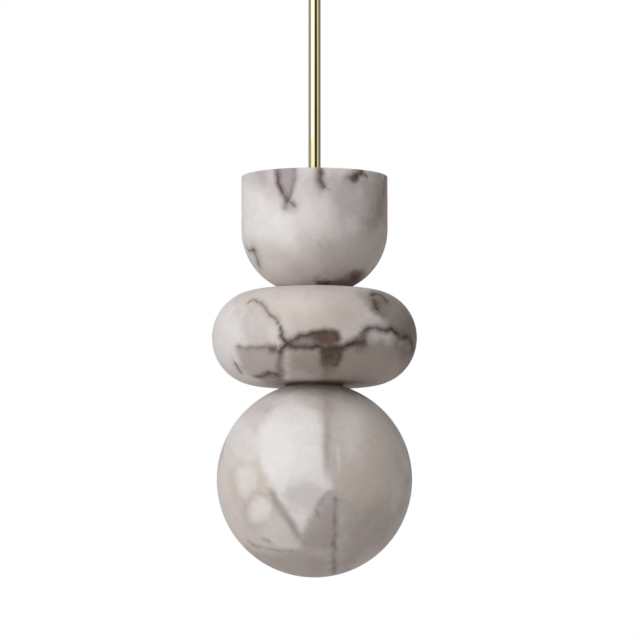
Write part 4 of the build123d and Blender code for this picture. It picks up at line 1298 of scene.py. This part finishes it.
class PENDANT_OT_disc(bpy.types.Operator):
    """Turn the rounded alabaster disc"""

    bl_idname = "pendant.disc"
    bl_label = "Alabaster disc"

    def execute(self, context):
        make_stone("alabaster_disc", disc_section, DISC_CLOUDS, DISC_VEINS, 23, False)
        return {"FINISHED"}


class PENDANT_OT_ball(bpy.types.Operator):
    """Turn the alabaster ball"""

    bl_idname = "pendant.ball"
    bl_label = "Alabaster ball"

    def execute(self, context):
        make_stone("alabaster_ball", ball_section, BALL_CLOUDS, BALL_VEINS, 37, False)
        return {"FINISHED"}


# --- Brass ----------------------------------------------------------------------------------------
class PENDANT_OT_stem(bpy.types.Operator):
    """Turn the polished brass stem tube"""

    bl_idname = "pendant.stem"
    bl_label = "Brass stem"

    def execute(self, context):
        settings = context.scene.pendant_metal
        low, high = in_mm("stem_tube")
        brass = polished_brass("polished_stem_brass", settings.brass)
        section = ring_profile(PIPE_HOLE, high.x, low.z, high.z, 0.3)
        tube = turned_piece("polished_stem_tube", [section], settings.segments, brass)
        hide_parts("stem_tube")
        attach(tube, "stem")
        return {"FINISHED"}


def knurl_tree():
    """Geometry Nodes that stand straight ribs round a screw's head."""
    sockets = {
        "Start": "Geometry",
        "Ribs": "Int",
        "Radius": "Float",
        "Rib Length": "Float",
        "Rib Size": "Float",
        "Finish": "Material",
    }
    tree, given = begin_tree("knurl", sockets, "Knurl")
    ring = add_node(
        tree, "GeometryNodeMeshCircle", inputs={"Vertices": given["Ribs"], "Radius": given["Radius"]}
    )
    rib = add_node(
        tree,
        "GeometryNodeMeshCylinder",
        inputs={"Vertices": 4, "Radius": given["Rib Size"], "Depth": given["Rib Length"]},
    )
    place = add_node(tree, "GeometryNodeInputPosition")
    way = add_node(tree, "FunctionNodeAlignEulerToVector", {"axis": "X"}, {"Vector": place})
    ribs = add_node(
        tree, "GeometryNodeInstanceOnPoints", inputs={"Points": ring, "Instance": rib, "Rotation": way}
    )
    return end_tree(tree, ribs, given["Finish"])


class PENDANT_OT_canopy(bpy.types.Operator):
    """Turn the spun brass canopy and its two knurled screws"""

    bl_idname = "pendant.canopy"
    bl_label = "Canopy"

    def execute(self, context):
        settings = context.scene.pendant_metal
        low, high = in_mm("canopy")
        radius, floor_z, top_z = high.x, low.z, high.z
        wall, bend, hole, edge = 1.5, 2.0, 5.35, 0.3
        brass = polished_brass("polished_canopy_brass", settings.brass)
        section = [
            (hole, floor_z),
            *arc((radius - bend, floor_z + bend), (bend, bend), -90, 0, 0.25),
            (radius, floor_z + bend),
            (radius, top_z - edge),
            (radius - edge, top_z),
            (radius - wall, top_z),
            (radius - wall, floor_z + wall),
            (hole, floor_z + wall),
        ]
        canopy = turned_piece("spun_canopy", [section], 2 * settings.segments, brass)
        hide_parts("canopy")
        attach(canopy, "ceiling_mount")
        # knurled screws: a turned head with straight ribs, and its shank into the strap
        head_radius, head_length, shank_radius, shank_reach = 4.0, 5.0, 2.0, 6.0
        rib, rib_ends = 0.35, 1.2  # how far the ribs stand out, and the length that they leave bare
        core = head_radius - rib
        seat, point, crown = 0.02, 0.4, 0.7  # gap under the head, bevel of the tip and of the head
        turned = finish("turned_screw_brass", BRASS_TURNED)
        screw = [
            (0, -shank_reach),
            (shank_radius - point, -shank_reach),
            (shank_radius, -shank_reach + point),
            (shank_radius, seat),
            (core, seat),
            (core, head_length - crown),
            (core - crown, head_length),
            (0, head_length),
        ]
        start = line_object("knurl_start", [(0, 0, 0), (0, 0, 1)])
        ribs = nodes_result(
            start,
            knurl_tree(),
            {
                "Ribs": settings.knurl_ribs,
                "Radius": core * MM,
                "Rib Length": (head_length - rib_ends) * MM,
                "Rib Size": rib * MM,
                "Finish": turned,
            },
        )
        bpy.data.objects.remove(start)
        head = turned_piece("knurled_screws", [screw], 32, turned)
        form = bmesh.new()
        side_z = sum(corner.z for corner in in_mm("canopy_side_screws")) / 2
        for side in (-1, 1):
            one = bmesh.new()
            one.from_mesh(ribs)
            bmesh.ops.translate(one, verts=one.verts, vec=(0, 0, head_length / 2 * MM))
            one.from_mesh(head.data)
            for vertex in one.verts:
                x, y, z = vertex.co
                vertex.co = (side * (z + radius * MM), y, side_z * MM - side * x)
            passing = bpy.data.meshes.new("passing")
            one.to_mesh(passing)
            one.free()
            form.from_mesh(passing)
            bpy.data.meshes.remove(passing)
        bmesh.ops.recalc_face_normals(form, faces=form.faces)
        form.to_mesh(head.data)
        form.free()
        head.data.shade_flat()
        head.data.set_sharp_from_angle(angle=math.radians(25))
        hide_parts("canopy_side_screws")
        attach(head, "ceiling_mount")
        return {"FINISHED"}


class PENDANT_OT_lamp(bpy.types.Operator):
    """Make the opal sleeve and its brass end covers inside the bowl"""

    bl_idname = "pendant.lamp"
    bl_label = "Lamp in the bowl"

    def execute(self, context):
        settings = context.scene.pendant_metal
        low, high = in_mm("opal_sleeve")
        opal = finish("opal_acrylic", OPAL_ACRYLIC)
        wall, facets = 2.0, 96
        section = ring_profile(high.x - wall, high.x, low.z, high.z, 0.2)
        sleeve = turned_piece("extruded_opal_sleeve", [section], facets, opal)
        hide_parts("opal_sleeve")
        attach(sleeve, "stem")
        cover_low, cover_high = in_mm("sleeve_end_covers")
        radius, thick = cover_high.x, 2.0
        brass = polished_brass("polished_cover_brass", settings.brass)
        rings = [
            ring_profile(PIPE_HOLE, radius, high.z, cover_high.z, 0.5),
            ring_profile(PIPE_HOLE, radius, cover_low.z, cover_low.z + thick, 0.5),
        ]
        covers = turned_piece("turned_end_covers", rings, settings.segments, brass)
        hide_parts("sleeve_end_covers")
        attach(covers, "stem")
        return {"FINISHED"}


# --- Finishes of the nodes that keep their CAD shape ------------------------------------------------
FITTINGS = [
    (
        "zinc_plated_steel",
        ZINC_STEEL,
        ["mounting_strap", "strap_nuts", "terminal_pole_screws"]
        + ["terminal_fixing_screw", "toggle_plate", "clamp_washer"],
    ),
    (
        "turned_brass",
        BRASS_TURNED,
        ["hub_washer", "swivel_hub", "swivel_cap", "swivel_yoke", "stem_knuckle", "pivot_screws"]
        + ["turn_stop_pin", "ceiling_nipple", "threaded_pipe", "earth_screw", "clamp_nut"]
        + ["bowl_engine_nuts", "disc_engine_nuts", "ball_engine_nuts", "toggle_nuts"],
    ),
    # the joint plates' dull brown is painted shade for the shadow where the stones meet
    ("darkened_brass", PLATE_PAINTED_SHADE, ["upper_joint_plate", "lower_joint_plate"]),
    ("moulded_abs", ABS_WHITE, ["led_driver"]),
    ("foam_tape", FOAM_TAPE, ["driver_tape"]),
    ("moulded_polyamide", POLYAMIDE, ["terminal_block"]),
    ("tinned_copper", TINNED_COPPER, ["earth_ring_terminal"]),
    ("pvc_brown", PVC_BROWN, ["mains_cores"]),
    ("pvc_green_yellow", PVC_GREEN, ["earth_core"]),
    ("pvc_white", PVC_WHITE, ["driver_lead", "bowl_lead", "disc_lead", "ball_lead"]),
    (
        "silicone_sheet",
        SILICONE,
        ["floor_gasket", "upper_joint_gaskets", "lower_joint_gaskets", "toggle_pads"],
    ),
    ("extruded_aluminium", ALUMINIUM_EXTRUDED, ["bowl_heat_sink", "disc_heat_sink", "ball_heat_sink"]),
    (
        "white_solder_mask",
        SOLDER_MASK,
        ["bowl_led_boards", "disc_led_boards", "ball_led_boards", "ball_end_board"],
    ),
]


class PENDANT_OT_fittings(bpy.types.Operator):
    """Give every fitting that keeps its CAD shape its finish"""

    bl_idname = "pendant.fittings"
    bl_label = "Fittings"

    def execute(self, context):
        for name, facts, nodes in FITTINGS:
            material = finish(name, facts)
            for node in nodes:
                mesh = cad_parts[node].data
                if not mesh.materials:
                    mesh.materials.append(material)
                for place in range(len(mesh.materials)):
                    mesh.materials[place] = material
        return {"FINISHED"}


STEPS = [
    PENDANT_OT_stage,
    PENDANT_OT_bowl,
    PENDANT_OT_disc,
    PENDANT_OT_ball,
    PENDANT_OT_stem,
    PENDANT_OT_canopy,
    PENDANT_OT_lamp,
    PENDANT_OT_fittings,
]
SETTINGS = {
    "pendant_stone": PendantStoneSettings,
    "pendant_metal": PendantMetalSettings,
    "pendant_stage": PendantStageSettings,
}


class PENDANT_PT_panel(bpy.types.Panel):
    """Sizes, colours and steps of the pendant"""

    bl_label = "Alabaster Pendant"
    bl_idname = "PENDANT_PT_panel"
    bl_space_type = "VIEW_3D"
    bl_region_type = "UI"
    bl_category = "Pendant"

    def draw(self, context):
        for name, group in SETTINGS.items():
            box = self.layout.box()
            for key in group.__annotations__:
                box.prop(getattr(context.scene, name), key)
        for step in STEPS:
            self.layout.operator(step.bl_idname)


def register():
    for made in (*SETTINGS.values(), *STEPS, PENDANT_PT_panel):
        bpy.utils.register_class(made)
    for name, group in SETTINGS.items():
        setattr(bpy.types.Scene, name, bpy.props.PointerProperty(type=group))


def unregister():
    for name in SETTINGS:
        delattr(bpy.types.Scene, name)
    for made in reversed((*SETTINGS.values(), *STEPS, PENDANT_PT_panel)):
        bpy.utils.unregister_class(made)


def main():
    """Makes everything in order."""
    register()
    bpy.ops.pendant.stage()
    bpy.ops.pendant.bowl()
    bpy.ops.pendant.disc()
    bpy.ops.pendant.ball()
    bpy.ops.pendant.stem()
    bpy.ops.pendant.canopy()
    bpy.ops.pendant.lamp()
    bpy.ops.pendant.fittings()


if __name__ == "__main__":
    main()
